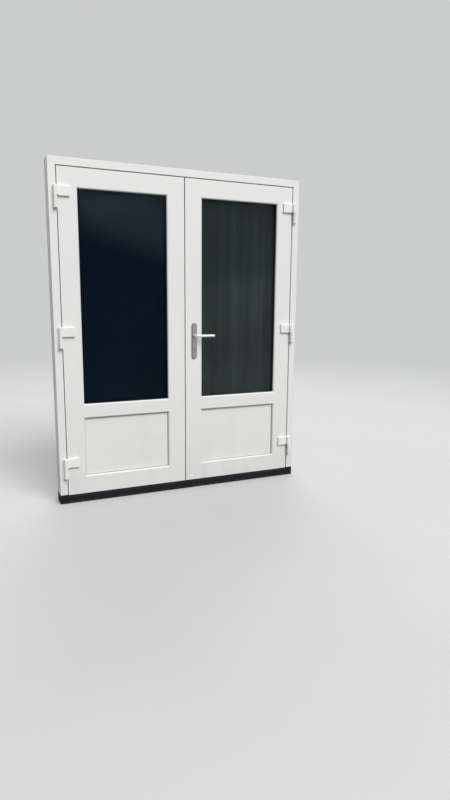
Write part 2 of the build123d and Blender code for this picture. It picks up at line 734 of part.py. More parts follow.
    # Glazing gaskets before and behind glass and panel
    with BuildPart() as glazing_gaskets:
        for low, high in openings:
            for y_from in (lip_back, unit_back):
                ring(centre, (low + high) / 2, opening_width, high - low, gasket_face, y_from,
                     y_from + gasket_thickness)
    glazing_gaskets.part.label = f"{hand}_glazing_gaskets"
    export_step(glazing_gaskets.part, f"parts/{hand}_glazing_gaskets.step")

    # Glazing beads on the room side, sloped to the glass and mitred at the corners
    with BuildPart() as glazing_beads:
        left, right = centre - opening_width / 2 - lip_depth, centre + opening_width / 2 + lip_depth
        for low, high in openings:
            foot, head = low - lip_depth, high + lip_depth
            with BuildPart(mode=Mode.PRIVATE) as bars:
                with BuildLine() as path:
                    Polyline((centre, 0, foot), (right, 0, foot), (right, 0, head), (left, 0, head),
                             (left, 0, foot), (centre, 0, foot))
                with BuildSketch(Plane(origin=(centre, 0, foot), x_dir=(0, 0, 1), z_dir=(1, 0, 0))):
                    with BuildLine():
                        Polyline((0, -bead_front), (lip_depth, -bead_front),
                                 (lip_depth, -bead_front - bead_slope), (lip_depth - bead_slope, -leaf_back),
                                 (0, -leaf_back), close=True)
                    make_face()
                    chamber(bead_wall, lip_depth - bead_slope - bead_wall, -leaf_back + bead_wall,
                            -bead_front - bead_wall)
                sweep(path=path.wires()[0], transition=Transition.RIGHT)
                for x, z, turn in ((left, foot, 45), (right, foot, -45), (left, head, -45),
                                   (right, head, 45)):
                    with Locations(Location((x, leaf_back, z), (0, turn, 0))):
                        Box(mitre_gap, 2 * leaf_thickness, 4 * lip_depth, mode=Mode.SUBTRACT)
            add(bars.part)
    glazing_beads.part.label = f"{hand}_glazing_beads"
    export_step(glazing_beads.part, f"parts/{hand}_glazing_beads.step")

    # Packers that carry glass and panel in their rebates
    with BuildPart() as packers:
        half = packer_length / 2
        for low, high in openings:
            foot, middle = low - lip_depth, (low + high) / 2
            for x in (centre - opening_width / 3, centre + opening_width / 3):
                block(x - half, x + half, unit_face, unit_back, foot, foot + glass_clearance)
            for turn in (-1, 1):
                edge = centre + turn * (opening_width / 2 + lip_depth)
                block(edge, edge - turn * glass_clearance, unit_face, unit_back, middle - half,
                      middle + half)
    packers.part.label = f"{hand}_packers"
    export_step(packers.part, f"parts/{hand}_packers.step")

# False mullion on the passive leaf, bevelled so that the leaf can swing out, with a strip on the room side
mullion_outline = [(-body_edge, unit_face), (mullion_face, unit_face), (mullion_face, bevel_start),
                   (mullion_face - mullion_bevel, leaf_back), (-body_edge, leaf_back)]
centre_keep_span = (deadbolt_z - deadbolt_height / 2 - keep_margin, latch_z + latch_height / 2 + keep_margin)
hook_keep_spans = [(z - 2 * keep_margin, z + hook_bore_radius + keep_margin) for z in hook_heights]
flush_bolts = (("lower_flush_bolt", body_low, 1), ("upper_flush_bolt", body_high, -1))
with BuildPart() as false_mullion:
    prism(mullion_outline, body_low + end_cap_height, body_high - end_cap_height)
    strip_back = leaf_back + cover_strip_thickness
    strip_edge = mullion_face - mullion_bevel
    prism([(-body_edge - cover_strip_width, leaf_back), (strip_edge, leaf_back),
           (strip_edge - cover_strip_bevel, strip_back),
           (-body_edge - cover_strip_width + cover_strip_bevel, strip_back)],
          stop_top + cover_strip_thickness, frame_height - stop_inset - cover_strip_thickness)
    for low, high in [centre_keep_span] + hook_keep_spans:
        block(mullion_face - keep_thickness, mullion_face, lock_plane - keep_width / 2,
              lock_plane + keep_width / 2, low, high, Mode.SUBTRACT)
    half = bolt_thickness / 2 + keep_clearance
    for z, height in ((latch_z, latch_height), (deadbolt_z, deadbolt_height)):
        block(-body_edge, mullion_face, lock_plane - half, lock_plane + half,
              z - height / 2 - keep_pocket_clearance, z + height / 2 + keep_pocket_clearance, Mode.SUBTRACT)
    half = hook_thickness / 2 + keep_clearance
    for z in hook_heights:
        block(-body_edge, mullion_face, lock_plane - half, lock_plane + half, z - hook_bore_radius / 2,
              z + hook_bore_radius, Mode.SUBTRACT)
    for name, end, turn in flush_bolts:
        start, finish = end + turn * flush_plate_start, end + turn * (flush_plate_start + flush_plate_height)
        block(mullion_face - flush_plate_thickness, mullion_face, lock_plane - flush_plate_width / 2,
              lock_plane + flush_plate_width / 2, start, finish, Mode.SUBTRACT)
        reach = flush_bolt_size / 2 + mullion_bolt_clearance
        bolt_hole(bolt_x - reach, mullion_face - flush_plate_thickness, end, finish, mullion_bolt_clearance)
false_mullion.part.label = "false_mullion"
export_step(false_mullion.part, "parts/false_mullion.step")

with BuildPart() as mullion_end_caps:
    for low in (body_low, body_high - end_cap_height):
        prism(mullion_outline, low, low + end_cap_height)
        reach = flush_bolt_size / 2 + mullion_bolt_clearance
        bolt_hole(bolt_x - reach, bolt_x + reach, low, low + end_cap_height, mullion_bolt_clearance)
mullion_end_caps.part.label = "mullion_end_caps"
export_step(mullion_end_caps.part, "parts/mullion_end_caps.step")

# Keeps, let in flush with the mullion's face
with BuildPart() as centre_keep:
    block(mullion_face - keep_thickness, mullion_face, lock_plane - keep_width / 2,
          lock_plane + keep_width / 2, *centre_keep_span)
    half = bolt_thickness / 2 + keep_clearance
    for z, height in ((latch_z, latch_height), (deadbolt_z, deadbolt_height)):
        reach = height / 2 + keep_clearance
        block(mullion_face - keep_thickness, mullion_face, lock_plane - half, lock_plane + half,
              z - reach, z + reach, Mode.SUBTRACT)
centre_keep.part.label = "centre_keep"
export_step(centre_keep.part, "parts/centre_keep.step")

keep_front = hook_pivot - mullion_face
keep_rear = keep_front + keep_thickness
hook_slot_low = (hook_bore_radius ** 2 - keep_rear ** 2) ** 0.5 - keep_clearance
hook_slot_high = (hook_radius ** 2 - keep_front ** 2) ** 0.5 + keep_clearance
with BuildPart() as hook_keeps:
    half = hook_thickness / 2 + keep_clearance
    for z, (low, high) in zip(hook_heights, hook_keep_spans):
        block(mullion_face - keep_thickness, mullion_face, lock_plane - keep_width / 2,
              lock_plane + keep_width / 2, low, high)
        block(mullion_face - keep_thickness, mullion_face, lock_plane - half, lock_plane + half,
              z + hook_slot_low, z + hook_slot_high, Mode.SUBTRACT)
hook_keeps.part.label = "hook_keeps"
export_step(hook_keeps.part, "parts/hook_keeps.step")

# Flush bolts behind their face plates, drawn at rest
lug_place = flush_bolt_length - thumb_lug_margin - thumb_lug_height / 2
with BuildPart() as flush_bolt_plates:
    for name, end, turn in flush_bolts:
        start, finish = end + turn * flush_plate_start, end + turn * (flush_plate_start + flush_plate_height)
        block(mullion_face - flush_plate_thickness, mullion_face, lock_plane - flush_plate_width / 2,
              lock_plane + flush_plate_width / 2, start, finish)
        with Locations((mullion_face, lock_plane, end + turn * (lug_place - flush_bolt_travel / 2))):
            Box(3 * flush_plate_thickness, thumb_lug_width + 2 * thumb_lug_clearance,
                flush_bolt_travel + thumb_lug_height + 4 * thumb_lug_clearance, mode=Mode.SUBTRACT)
flush_bolt_plates.part.label = "flush_bolt_plates"
export_step(flush_bolt_plates.part, "parts/flush_bolt_plates.step")

for name, end, turn in flush_bolts:
    with BuildPart() as flush_bolt:
        half = flush_bolt_size / 2
        block(bolt_x - half, bolt_x + half, lock_plane - half, lock_plane + half,
              end + turn * flush_bolt_end_gap, end + turn * flush_bolt_length)
        with Locations((0, lock_plane, end + turn * lug_place)):
            block(bolt_x + half, mullion_face - thumb_lug_recess, -thumb_lug_width / 2, thumb_lug_width / 2,
                  -thumb_lug_height / 2, thumb_lug_height / 2)
    flush_bolt.part.label = name
    export_step(flush_bolt.part, f"parts/{name}.step")

# Meeting strip and soft seals on the active leaf
with BuildPart() as meeting_strip:
    block(body_edge - strip_reach, body_edge, leaf_back - strip_depth, leaf_back, body_low, body_high)
meeting_strip.part.label = "meeting_strip"
export_step(meeting_strip.part, "parts/meeting_strip.step")

with BuildPart() as meeting_seals:
    block(body_edge - outer_lip_reach, body_edge, unit_face - seal_thickness, unit_face, body_low, body_high)
    lip_y = leaf_back - strip_depth / 2
    block(body_edge - strip_reach - inner_lip_reach, body_edge - strip_reach, lip_y - seal_thickness / 2,
          lip_y + seal_thickness / 2, body_low, body_high)
meeting_seals.part.label = "meeting_seals"
export_step(meeting_seals.part, "parts/meeting_seals.step")

# Lock rail on the active leaf's edge, a U with openings for latch, deadbolt and hooks
with BuildPart() as lock_rail:
    half, inside = rail_width / 2, rail_width / 2 - rail_wall
    prism([(rail_front, lock_plane - half), (body_edge, lock_plane - half), (body_edge, lock_plane - inside),
           (rail_back, lock_plane - inside), (rail_back, lock_plane + inside),
           (body_edge, lock_plane + inside), (body_edge, lock_plane + half),
           (rail_front, lock_plane + half)],
          rail_bottom, rail_top)
    half = bolt_thickness / 2 + running_clearance
    for z, height in ((latch_z, latch_height), (deadbolt_z, deadbolt_height)):
        reach = height / 2 + running_clearance
        block(rail_front, rail_back, lock_plane - half, lock_plane + half, z - reach, z + reach,
              Mode.SUBTRACT)
    half = hook_thickness / 2 + keep_clearance
    for z in hook_heights:
        block(rail_front, rail_back, lock_plane - half, lock_plane + half, z + hook_hub_radius,
              z + hook_radius - hook_tip_gap, Mode.SUBTRACT)
lock_rail.part.label = "lock_rail"
export_step(lock_rail.part, "parts/lock_rail.step")

with BuildPart() as lock_case:
    half, inside = case_thickness / 2, case_thickness / 2 - case_wall
    block(body_edge, body_edge + case_depth, lock_plane - half, lock_plane + half, case_bottom, case_top)
    block(body_edge, body_edge + case_depth - case_wall, lock_plane - inside, lock_plane + inside,
          case_bottom + case_wall, case_top - case_wall, Mode.SUBTRACT)
    bar_along_y(handle_x, lever_height, spindle_size, lock_plane - half, lock_plane + half, Mode.SUBTRACT)
    euro_profile(running_clearance, lock_plane - half, lock_plane + half, Mode.SUBTRACT)
lock_case.part.label = "lock_case"
export_step(lock_case.part, "parts/lock_case.step")

with BuildPart() as hook_cases:
    half, inside = case_thickness / 2, case_thickness / 2 - case_wall
    for z in hook_heights:
        low, high = z - hook_case_height / 2, z + hook_case_height / 2
        block(body_edge, body_edge + hook_case_depth, lock_plane - half, lock_plane + half, low, high)
        block(body_edge, body_edge + hook_case_depth - case_wall, lock_plane - inside, lock_plane + inside,
              low + case_wall, high - case_wall, Mode.SUBTRACT)
        bar_along_y(hook_pivot, z, hook_pivot_radius, lock_plane - half, lock_plane + half)
hook_cases.part.label = "hook_cases"
export_step(hook_cases.part, "parts/hook_cases.step")

# Drive rods behind the rail, slotted for the hooks, each with a fork for its hook's crank pin
with BuildPart() as drive_rods:
    half, slot = rail_width / 2 - rail_wall - rod_side_gap, hook_thickness / 2 + keep_clearance
    lug_low = lock_plane + hook_thickness / 2 + running_clearance
    lug_high = lock_plane + case_thickness / 2 - case_wall - running_clearance
    play = crank_pin_radius + link_play
    for z, low, high in ((hook_heights[0], hook_heights[0] - rod_tail, case_bottom - rod_end_gap),
                         (hook_heights[1], case_top + rod_travel + rod_end_gap,
                          hook_heights[1] + hook_radius + rod_travel + rod_tail)):
        pin_z = z + rod_travel / 2
        block(rod_front, rod_front + rod_thickness, lock_plane - half, lock_plane + half, low, high)
        block(rod_front, rod_front + rod_thickness, lock_plane - slot, lock_plane + slot, z,
              z + hook_radius + rod_travel, Mode.SUBTRACT)
        block(rod_front, hook_pivot - crank_out + crank_pin_radius, lug_low, lug_high,
              pin_z - play - link_lug, pin_z + play + link_lug)
        block(rod_front, hook_pivot, lock_plane, lug_high + running_clearance, pin_z - play, pin_z + play,
              Mode.SUBTRACT)
drive_rods.part.label = "drive_rods"
export_step(drive_rods.part, "parts/drive_rods.step")

# Latch with its sloped nose, and a tail whose lug stands behind the follower's arm
half = bolt_thickness / 2
tip = rail_front - latch_projection
shoulder = rail_front + bolt_body_length
lug_start = handle_x + follower_arm_width / 2 + latch_lug_play
with BuildPart() as latch:
    prism([(tip, lock_plane - half), (shoulder, lock_plane - half), (shoulder, lock_plane + half),
           (rail_front - latch_nose / 2, lock_plane + half), (tip, lock_plane - half + latch_nose)],
          latch_z - latch_height / 2, latch_z + latch_height / 2)
    block(shoulder, lug_start + latch_lug_width, lock_plane - bolt_tail_size / 2,
          lock_plane + bolt_tail_size / 2, latch_z - bolt_tail_size, latch_z + bolt_tail_size)
    block(lug_start, lug_start + latch_lug_width, lock_plane - bolt_tail_size / 2,
          lock_plane + bolt_tail_size / 2, lever_height + follower_radius + pocket_clearance, latch_z)
latch.part.label = "latch"
export_step(latch.part, "parts/latch.step")

with BuildPart() as deadbolt:
    block(rail_front, shoulder, lock_plane - half, lock_plane + half,
          deadbolt_z - deadbolt_height / 2, deadbolt_z + deadbolt_height / 2)
    block(shoulder, shoulder + bolt_tail_length, lock_plane - bolt_tail_size / 2,
          lock_plane + bolt_tail_size / 2, deadbolt_z - bolt_tail_size, deadbolt_z + bolt_tail_size)
deadbolt.part.label = "deadbolt"
export_step(deadbolt.part, "parts/deadbolt.step")

# Swing hooks, drawn in at rest: a curved claw round the pivot and a crank pin in the rod's fork
for name, height in (("lower_hook", hook_heights[0]), ("upper_hook", hook_heights[1])):
    with BuildPart() as hook:
        face = Plane(origin=(hook_pivot, lock_plane - hook_thickness / 2, height), x_dir=(-1, 0, 0),
                     z_dir=(0, 1, 0))
        with BuildSketch(face):
            with BuildLine():
                outer = CenterArc((0, 0), hook_radius, hook_start, hook_span)
                inner = CenterArc((0, 0), hook_bore_radius, hook_start, hook_span)
                Line(outer @ 0, inner @ 0)
                Line(outer @ 1, inner @ 1)
            make_face()
            with Locations(Location((0, 0, 0), (0, 0, hook_start + hook_span - hook_spoke_turn))):
                with Locations((spoke_length / 2, 0)):
                    Rectangle(spoke_length, hook_spoke_width)
            with Locations(Location((0, 0, 0), (0, 0, crank_angle))):
                with Locations((crank_radius / 2, 0)):
                    Rectangle(crank_radius, 2 * crank_pin_radius)
                with Locations((crank_radius, 0)):
                    Circle(crank_pin_radius)
            Circle(hook_hub_radius)
            Circle(hook_pivot_radius + pin_clearance, mode=Mode.SUBTRACT)
        extrude(amount=hook_thickness)
        bar_along_y(hook_pivot - crank_out, height + rod_travel / 2, crank_pin_radius,
                    lock_plane + hook_thickness / 2, lug_high)
    hook.part.label = name
    export_step(hook.part, f"parts/{name}.step")

# Profile cylinder: body with a gap for the cam, plug with its keyways
cylinder_out = leaf_face - plate_thickness - cylinder_proud
cylinder_in = leaf_back + plate_thickness + cylinder_proud
with BuildPart() as cylinder_body:
    euro_profile(0, cylinder_out, cylinder_in)
    bar_along_y(handle_x, cylinder_z, plug_radius + pin_clearance, cylinder_out, cylinder_in, Mode.SUBTRACT)
    half = cam_thickness / 2 + pocket_clearance
    reach = cam_radius + pocket_clearance
    block(handle_x - reach, handle_x + reach, lock_plane - half, lock_plane + half, cylinder_z - reach,
          cylinder_z + reach, Mode.SUBTRACT)
cylinder_body.part.label = "cylinder_body"
export_step(cylinder_body.part, "parts/cylinder_body.step")

with BuildPart() as cylinder_plug:
    bar_along_y(handle_x, cylinder_z, plug_radius, cylinder_out + running_clearance,
                cylinder_in - running_clearance)
    block(handle_x - plug_radius / 2, handle_x + plug_radius / 2, lock_plane - cam_thickness / 2,
          lock_plane + cam_thickness / 2, cylinder_z, cylinder_z + cam_radius - pocket_clearance)
    for y in (cylinder_out, cylinder_in):
        with Locations((handle_x, y, cylinder_z)):
            Box(keyway_width, 2 * keyway_depth, keyway_height, mode=Mode.SUBTRACT)
cylinder_plug.part.label = "cylinder_plug"
export_step(cylinder_plug.part, "parts/cylinder_plug.step")

# Backplates and levers, the room side as the outside
for place, face, out in (("outside", leaf_face, -1), ("inside", leaf_back, 1)):
    plate_face = face + out * plate_thickness
    collar_face = plate_face + out * collar_height
    with BuildPart() as backplate:
        long_plate(face, plate_face)
        rim = backplate.faces().sort_by(Axis.Y)[0 if out < 0 else -1]
        fillet(rim.edges(), plate_rim_radius)
        with BuildPart(mode=Mode.PRIVATE) as collar:
            bar_along_y(handle_x, lever_height, collar_radius, plate_face, collar_face)
            chamfer(collar.faces().sort_by(Axis.Y)[0 if out < 0 else -1].edges(), collar_chamfer)
        add(collar.part)
        with BuildPart(mode=Mode.PRIVATE) as recess:
            hollow_face = plate_face - out * plate_wall
            long_plate(face, hollow_face, plate_rim_radius)
            for height in screw_heights:
                bar_along_y(handle_x, height, 2 * plate_screw_radius, face, hollow_face, Mode.SUBTRACT)
        add(recess.part, mode=Mode.SUBTRACT)
        bar_along_y(handle_x, lever_height, lever_radius + running_clearance, face, collar_face,
                    Mode.SUBTRACT)
        euro_profile(pin_clearance, face, plate_face, Mode.SUBTRACT)
        for height in screw_heights:
            if out < 0:
                bar_along_y(handle_x, height, plate_screw_radius, face, plate_face - out * plate_screw_cover,
                            Mode.SUBTRACT)
            else:
                bar_along_y(handle_x, height, plate_screw_radius, face, plate_face, Mode.SUBTRACT)
                bar_along_y(handle_x, height, plate_screw_head_radius, plate_face - plate_screw_head_height,
                            plate_face, Mode.SUBTRACT)
    backplate.part.label = f"{place}_backplate"
    export_step(backplate.part, f"parts/{place}_backplate.step")

    bar_y = face + out * lever_stand
    neck_start = hollow_face
    bar_end = handle_x + lever_reach - lever_radius
    with BuildPart() as lever:
        with BuildLine() as route:
            FilletPolyline((handle_x, neck_start, lever_height), (handle_x, bar_y, lever_height),
                           (bar_end, bar_y, lever_height), radius=lever_bend)
        with BuildSketch(Plane(origin=(handle_x, neck_start, lever_height), z_dir=(0, out, 0))):
            Circle(lever_radius)
        sweep(path=route.wires()[0])
        with Locations((bar_end, bar_y, lever_height)):
            Sphere(lever_radius)
        block(handle_x - spindle_size / 2, handle_x + spindle_size / 2, neck_start,
              neck_start + out * spindle_grip, lever_height - spindle_size / 2,
              lever_height + spindle_size / 2, Mode.SUBTRACT)
    lever.part.label = f"{place}_lever"
    export_step(lever.part, f"parts/{place}_lever.step")

# Square spindle, and the follower that it turns inside the case
neck_out = leaf_face - plate_thickness + plate_wall
neck_in = leaf_back + plate_thickness - plate_wall
with BuildPart() as spindle:
    reach = spindle_grip - spindle_end_gap
    block(handle_x - spindle_size / 2, handle_x + spindle_size / 2, neck_out - reach, neck_in + reach,
          lever_height - spindle_size / 2, lever_height + spindle_size / 2)
spindle.part.label = "spindle"
export_step(spindle.part, "parts/spindle.step")

with BuildPart() as follower:
    half = case_thickness / 2 - case_wall - running_clearance
    bar_along_y(handle_x, lever_height, follower_radius, lock_plane - half, lock_plane + half)
    block(handle_x - follower_arm_width / 2, handle_x + follower_arm_width / 2, lock_plane - half,
          lock_plane + half, lever_height, lever_height + follower_radius + follower_arm)
    block(handle_x - spindle_size / 2, handle_x + spindle_size / 2, lock_plane - half, lock_plane + half,
          lever_height - spindle_size / 2, lever_height + spindle_size / 2, Mode.SUBTRACT)
follower.part.label = "follower"
export_step(follower.part, "parts/follower.step")

with BuildPart() as plate_screws:
    head_y = leaf_back + plate_thickness - plate_screw_head_height
    for height in screw_heights:
        bar_along_y(handle_x, height, plate_screw_radius, leaf_face - plate_thickness + plate_screw_cover,
                    head_y)
        bar_along_y(handle_x, height, plate_screw_head_radius - running_clearance, head_y,
                    head_y + plate_screw_head_height)
plate_screws.part.label = "plate_screws"
export_step(plate_screws.part, "parts/plate_screws.step")
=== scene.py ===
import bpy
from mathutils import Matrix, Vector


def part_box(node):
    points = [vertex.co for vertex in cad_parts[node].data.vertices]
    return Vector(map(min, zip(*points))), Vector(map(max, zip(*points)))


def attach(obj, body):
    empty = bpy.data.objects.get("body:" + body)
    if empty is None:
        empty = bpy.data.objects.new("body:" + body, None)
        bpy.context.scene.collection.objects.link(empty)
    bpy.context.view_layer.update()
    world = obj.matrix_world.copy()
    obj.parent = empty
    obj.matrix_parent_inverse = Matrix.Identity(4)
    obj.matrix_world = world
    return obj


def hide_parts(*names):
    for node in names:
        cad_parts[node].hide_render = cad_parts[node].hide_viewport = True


bl_info = {
    "name": "French doors",
    "version": (1, 0, 0),
    "blender": (4, 5, 0),
    "location": "3D View > Sidebar > French doors",
    "description": "Finishes the packed french doors and lights them",
    "category": "Object",
}

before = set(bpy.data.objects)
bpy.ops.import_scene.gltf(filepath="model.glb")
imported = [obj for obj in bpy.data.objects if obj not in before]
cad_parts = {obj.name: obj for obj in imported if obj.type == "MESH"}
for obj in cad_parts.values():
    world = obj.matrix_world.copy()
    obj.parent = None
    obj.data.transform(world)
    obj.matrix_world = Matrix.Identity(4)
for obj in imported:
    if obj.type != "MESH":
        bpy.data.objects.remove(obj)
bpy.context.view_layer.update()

import math

import bmesh
import bpy
from bpy.props import FloatProperty, FloatVectorProperty, PointerProperty
from mathutils import Matrix, Vector

HANDS = ("left", "right")

# Photograph's frame in pixels, and its camera in the row frame's metres and radians
PHOTO_HEIGHT = 800
FOCAL_PIXELS = 586.5
SENSOR_WIDTH = 36.0
CAMERA_PLACE = (-1.4018, -3.7899, 1.3354)
CAMERA_YAW = 0.42775
CAMERA_PITCH = -0.17484
CAMERA_ROLL = -0.00829

# Places and sizes that the additions need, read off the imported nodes, in metres
FRAME_LOW, FRAME_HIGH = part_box("outer_frame")
LEAF_BOXES = {hand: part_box(f"{hand}_sash") for hand in HANDS}
PIN_LOW, PIN_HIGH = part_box("hinge_pins")
PIN_RADIUS = (PIN_HIGH.y - PIN_LOW.y) / 2
HINGE_Y = (PIN_HIGH.y + PIN_LOW.y) / 2
HINGE_X = PIN_HIGH.x - PIN_RADIUS
KNUCKLE_RADIUS = HINGE_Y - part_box("right_frame_hinge_parts")[0].y

HINGE_SPACING = 0.2  # more than a hinge is high, and less than the room between two
KNUCKLE_MARGIN = 1.02  # takes in a knuckle's own vertices, which stand at its radius
WEB_END = 0.9  # of a knuckle's radius: how far off its axis a web ends, just inside it
LIP_COVER = 0.015  # how far a sash's lip covers the edge of a pane or panel
SINK = 0.0001  # keeps a hidden face from lying in the surface beside it
CREASE = math.radians(40)

# Outlines, in shares of a cap's radius and height, and of a seal's width and height
CAP_OUTLINE = ((1.0, 0.4), (0.97, 0.7), (0.9, 0.92), (0.8, 1.0), (0.30, 1.0), (0.28, 0.9),
               (0.28, 0.35), (0.0, 0.35))
BEAD_OUTLINE = ((0.0, 1.0), (0.4, 1.0), (0.75, 0.8), (0.95, 0.45))

# Steps along a lever: neck, bend, bar and rounded tip, which stops short of a point
NECK_STEPS, BEND_STEPS, BAR_STEPS, TIP_STEPS = 8, 12, 16, 12
TIP_TURN = 12.2

# How a finish is drawn out: its noise runs along the axes with a small number
EVEN = (1.0, 1.0, 1.0)
GRAIN_UPRIGHT = (1.0, 1.0, 0.03)
GRAIN_ON_PINS = (1.0, 1.0, 0.05)
GRAIN_ON_LEVERS = (0.04, 1.0, 1.0)
GRAIN_ACROSS = (0.05, 1.0, 1.0)
GRAIN_THROUGH = (1.0, 0.05, 1.0)
DRAWN_RUBBER = (0.1, 1.0, 0.1)
RAIN_RUNS = (1.0, 1.0, 0.12)
SCUFFS = (0.12, 1.0, 1.0)
FOLDS = (1.0, 1.0, 0.02)
MOST_NOISE = (0.3, 0.7)  # most of a noise's values lie between these

# Painted shade and reflection per pane: height of line between tones, slope, softness, share of
# folds
LEFT_PAINTED_ROOM = {"level": 1.56, "slope": -0.30, "fade": 0.08, "streaks": 0.25}
RIGHT_PAINTED_ROOM = {"level": 1.42, "slope": 0.10, "fade": 0.07, "streaks": 0.6}

# Studio: where its lights stand, their width in degrees or metres, and the floor's sheet
KEY_FROM, KEY_ANGLE = (0.25, -0.95, 0.95), 35
BACK_FROM, BACK_ANGLE = (0.4, 0.9, 0.35), 55
PANEL_PLACE, PANEL_AIM, PANEL_SIZE = (1.2, -6.0, 4.2), (1.2, 0.0, 1.6), (7.0, 2.6)
FLOOR_REACH, FLOOR_CELLS, FLOOR_DROP = 40.0, 8, 0.0006


def colour(name, text, value):
    """A colour property with its default."""
    return FloatVectorProperty(name=name, description=text, default=value, min=0.0, max=1.0,
                               size=3, subtype="COLOR")


def length(name, text, value):
    """A length property in metres with its default."""
    return FloatProperty(name=name, description=text, default=value, min=0.0, unit="LENGTH",
                         subtype="DISTANCE", precision=4)


def light_level(name, text, value, unit="NONE"):
    """A light's level with its default."""
    return FloatProperty(name=name, description=text, default=value, min=0.0, unit=unit)


class FrenchDoorColours(bpy.types.PropertyGroup):
    """Colours of the doors' finishes."""

    profile_white: colour("Profiles", "White of frame, leaves, beads and panels",
                          (0.79, 0.795, 0.78))
    profile_grime: colour("Weathering", "Faint grey where rain and dust settle",
                          (0.60, 0.595, 0.565))
    hinge_white: colour("Hinges", "White of the painted hinges", (0.83, 0.83, 0.815))
    threshold_dark: colour("Threshold", "Near black of the threshold", (0.0045, 0.0075, 0.0115))
    threshold_dust: colour("Threshold's dust", "Paving dust and scuffs", (0.16, 0.145, 0.12))
    gasket_dark: colour("Rebate seals", "Rubber round the leaves", (0.012, 0.012, 0.013))
    glazing_seal: colour("Glazing seals", "Seals behind the sashes' lips", (0.15, 0.15, 0.145))
    panel_bead: colour("Panel seals", "Grey seal that shows round the panels",
                       (0.30, 0.30, 0.29))
    glass_bead: colour("Glass seals", "Black seal that shows round the glass",
                       (0.010, 0.010, 0.011))
    glass_clear: colour("Glass", "Clear outer panes", (0.86, 0.90, 0.90))
    glass_dust: colour("Dust on glass", "Film of dust on the outer panes", (0.80, 0.83, 0.83))
    # Painted shade of the dim rooms behind the inner panes, with painted reflection, above and
    # below a line
    left_painted_top: colour("Left glass, top", "Tone behind the top of the left pane",
                       (0.016, 0.027, 0.037))
    left_painted_foot: colour("Left glass, foot", "Tone behind the rest of the left pane",
                       (0.0002, 0.0045, 0.0135))
    right_painted_top: colour("Right glass, top", "Tone behind the top of the right pane",
                        (0.025, 0.033, 0.033))
    right_painted_foot: colour("Right glass, foot", "Tone behind the rest of the right pane",
                        (0.037, 0.047, 0.046))
    plate_grey: colour("Backplates", "Satin grey of the backplates", (0.41, 0.41, 0.40))
    lever_satin: colour("Levers", "Bright satin of the levers", (0.78, 0.78, 0.765))
    steel: colour("Steel", "Keeps, bolts and lock", (0.52, 0.52, 0.51))
    zinc: colour("Zinc", "Galvanised tubes inside the profiles", (0.44, 0.46, 0.47))
    spacer: colour("Spacer", "Dark bars between the panes", (0.010, 0.010, 0.011))
    packer: colour("Packers", "Plastic packers under the glass", (0.05, 0.13, 0.33))


class FrenchDoorSizes(bpy.types.PropertyGroup):
    """Small sizes of what the scene adds."""

    cap_height: length("Cap height", "How far a hinge cap stands past its knuckle", 0.0022)
    cap_radius: length("Cap radius", "Radius of a hinge cap", 0.0100)
    lever_bend: length("Lever bend", "Bend from a lever's neck to its bar, at the bar's middle",
                       0.014)
    bead_width: length("Seal width", "Width of the seal that shows round glass and panels",
                       0.0042)
    bead_height: length("Seal height", "How far that seal stands off the glass", 0.0032)
    # The strip in the meeting gap is painted shade
    shade_strip_inset: length("Edge strip inset", "How far the meeting gap's strip lies behind the face",
                        0.0016)
    shade_strip_depth: length("Edge strip depth", "How far that strip reaches into the gap", 0.0118)
    shade_strip_height: length("Edge strip height", "How far that strip stands into the gap", 0.0012)
    web_round: length("Web rounding", "Rounded edge of a hinge's web", 0.003)
    web_recess: length("Web recess", "How far a web lies behind its cover's face", 0.0001)
    web_back: length("Web back", "How far a web's back stays off the leaf", 0.004)
    # The backplates' darker rim is painted shade
    rim_shade_width: length("Rim width", "Width of the backplates' darker rim", 0.0035)
    weld_width: length("Weld width", "Half the width of a welded mitre's line", 0.0005)


class FrenchDoorStage(bpy.types.PropertyGroup):
    """Light, floor and backdrop."""

    floor: colour("Floor", "Pale floor", (0.56, 0.56, 0.555))
    floor_bounce: colour("Floor's return", "How much light the floor sends back up",
                         (0.08, 0.08, 0.078))
    backdrop: colour("Backdrop", "Pale backdrop behind the doors", (0.60, 0.605, 0.61))
    zenith: colour("Overhead light", "Soft light from above", (0.60, 0.605, 0.61))
    horizon: colour("Level light", "Soft light from the sides", (0.44, 0.445, 0.45))
    key_strength: light_level("Key light", "Level of the wide light in front", 2.32)
    back_strength: light_level("Back light", "Level of the wide light behind", 1.7)
    panel_power: light_level("Reflected panel", "Power of the soft panel that the glass reflects",
                             70.0, "POWER")
    near_floor: length("Plain floor", "How far out the floor keeps its own tone", 3.5)
    far_floor: length("Floor's edge", "How far out the floor has turned into the backdrop", 9.0)


# Nodes of the finishes

def new_finish(name):
    """A node material and its shader."""
    material = bpy.data.materials.new(name)
    material.use_nodes = True
    return material, material.node_tree.nodes["Principled BSDF"]


def put(material, kind, inputs=(), **settings):
    """Adds a node, with its settings and the values or links of its inputs."""
    node = material.node_tree.nodes.new(kind)
    for key, value in settings.items():
        setattr(node, key, value)
    for key, value in dict(inputs).items():
        if isinstance(value, bpy.types.NodeSocket):
            material.node_tree.links.new(value, node.inputs[key])
        else:
            node.inputs[key].default_value = value
    return node


def join(material, socket, target):
    """Links two sockets."""
    material.node_tree.links.new(socket, target)


def place(material):
    """Where a point of the piece is, in metres of the row frame at rest."""
    return put(material, "ShaderNodeTexCoord").outputs["Object"]


def maths(material, operation, first, second=0.0, third=None, clamp=False):
    """One sum on numbers or sockets."""
    inputs = {0: first, 1: second}
    if third is not None:
        inputs[2] = third
    return put(material, "ShaderNodeMath", inputs, operation=operation,
               use_clamp=clamp).outputs[0]


def cloud(material, scale, detail, stretch=EVEN):
    """Soft noise, drawn out along an axis where the finish needs it."""
    mapping = put(material, "ShaderNodeMapping", {"Vector": place(material), "Scale": stretch})
    noise = put(material, "ShaderNodeTexNoise",
                {"Vector": mapping.outputs[0], "Scale": scale, "Detail": detail})
    return noise.outputs["Fac"]


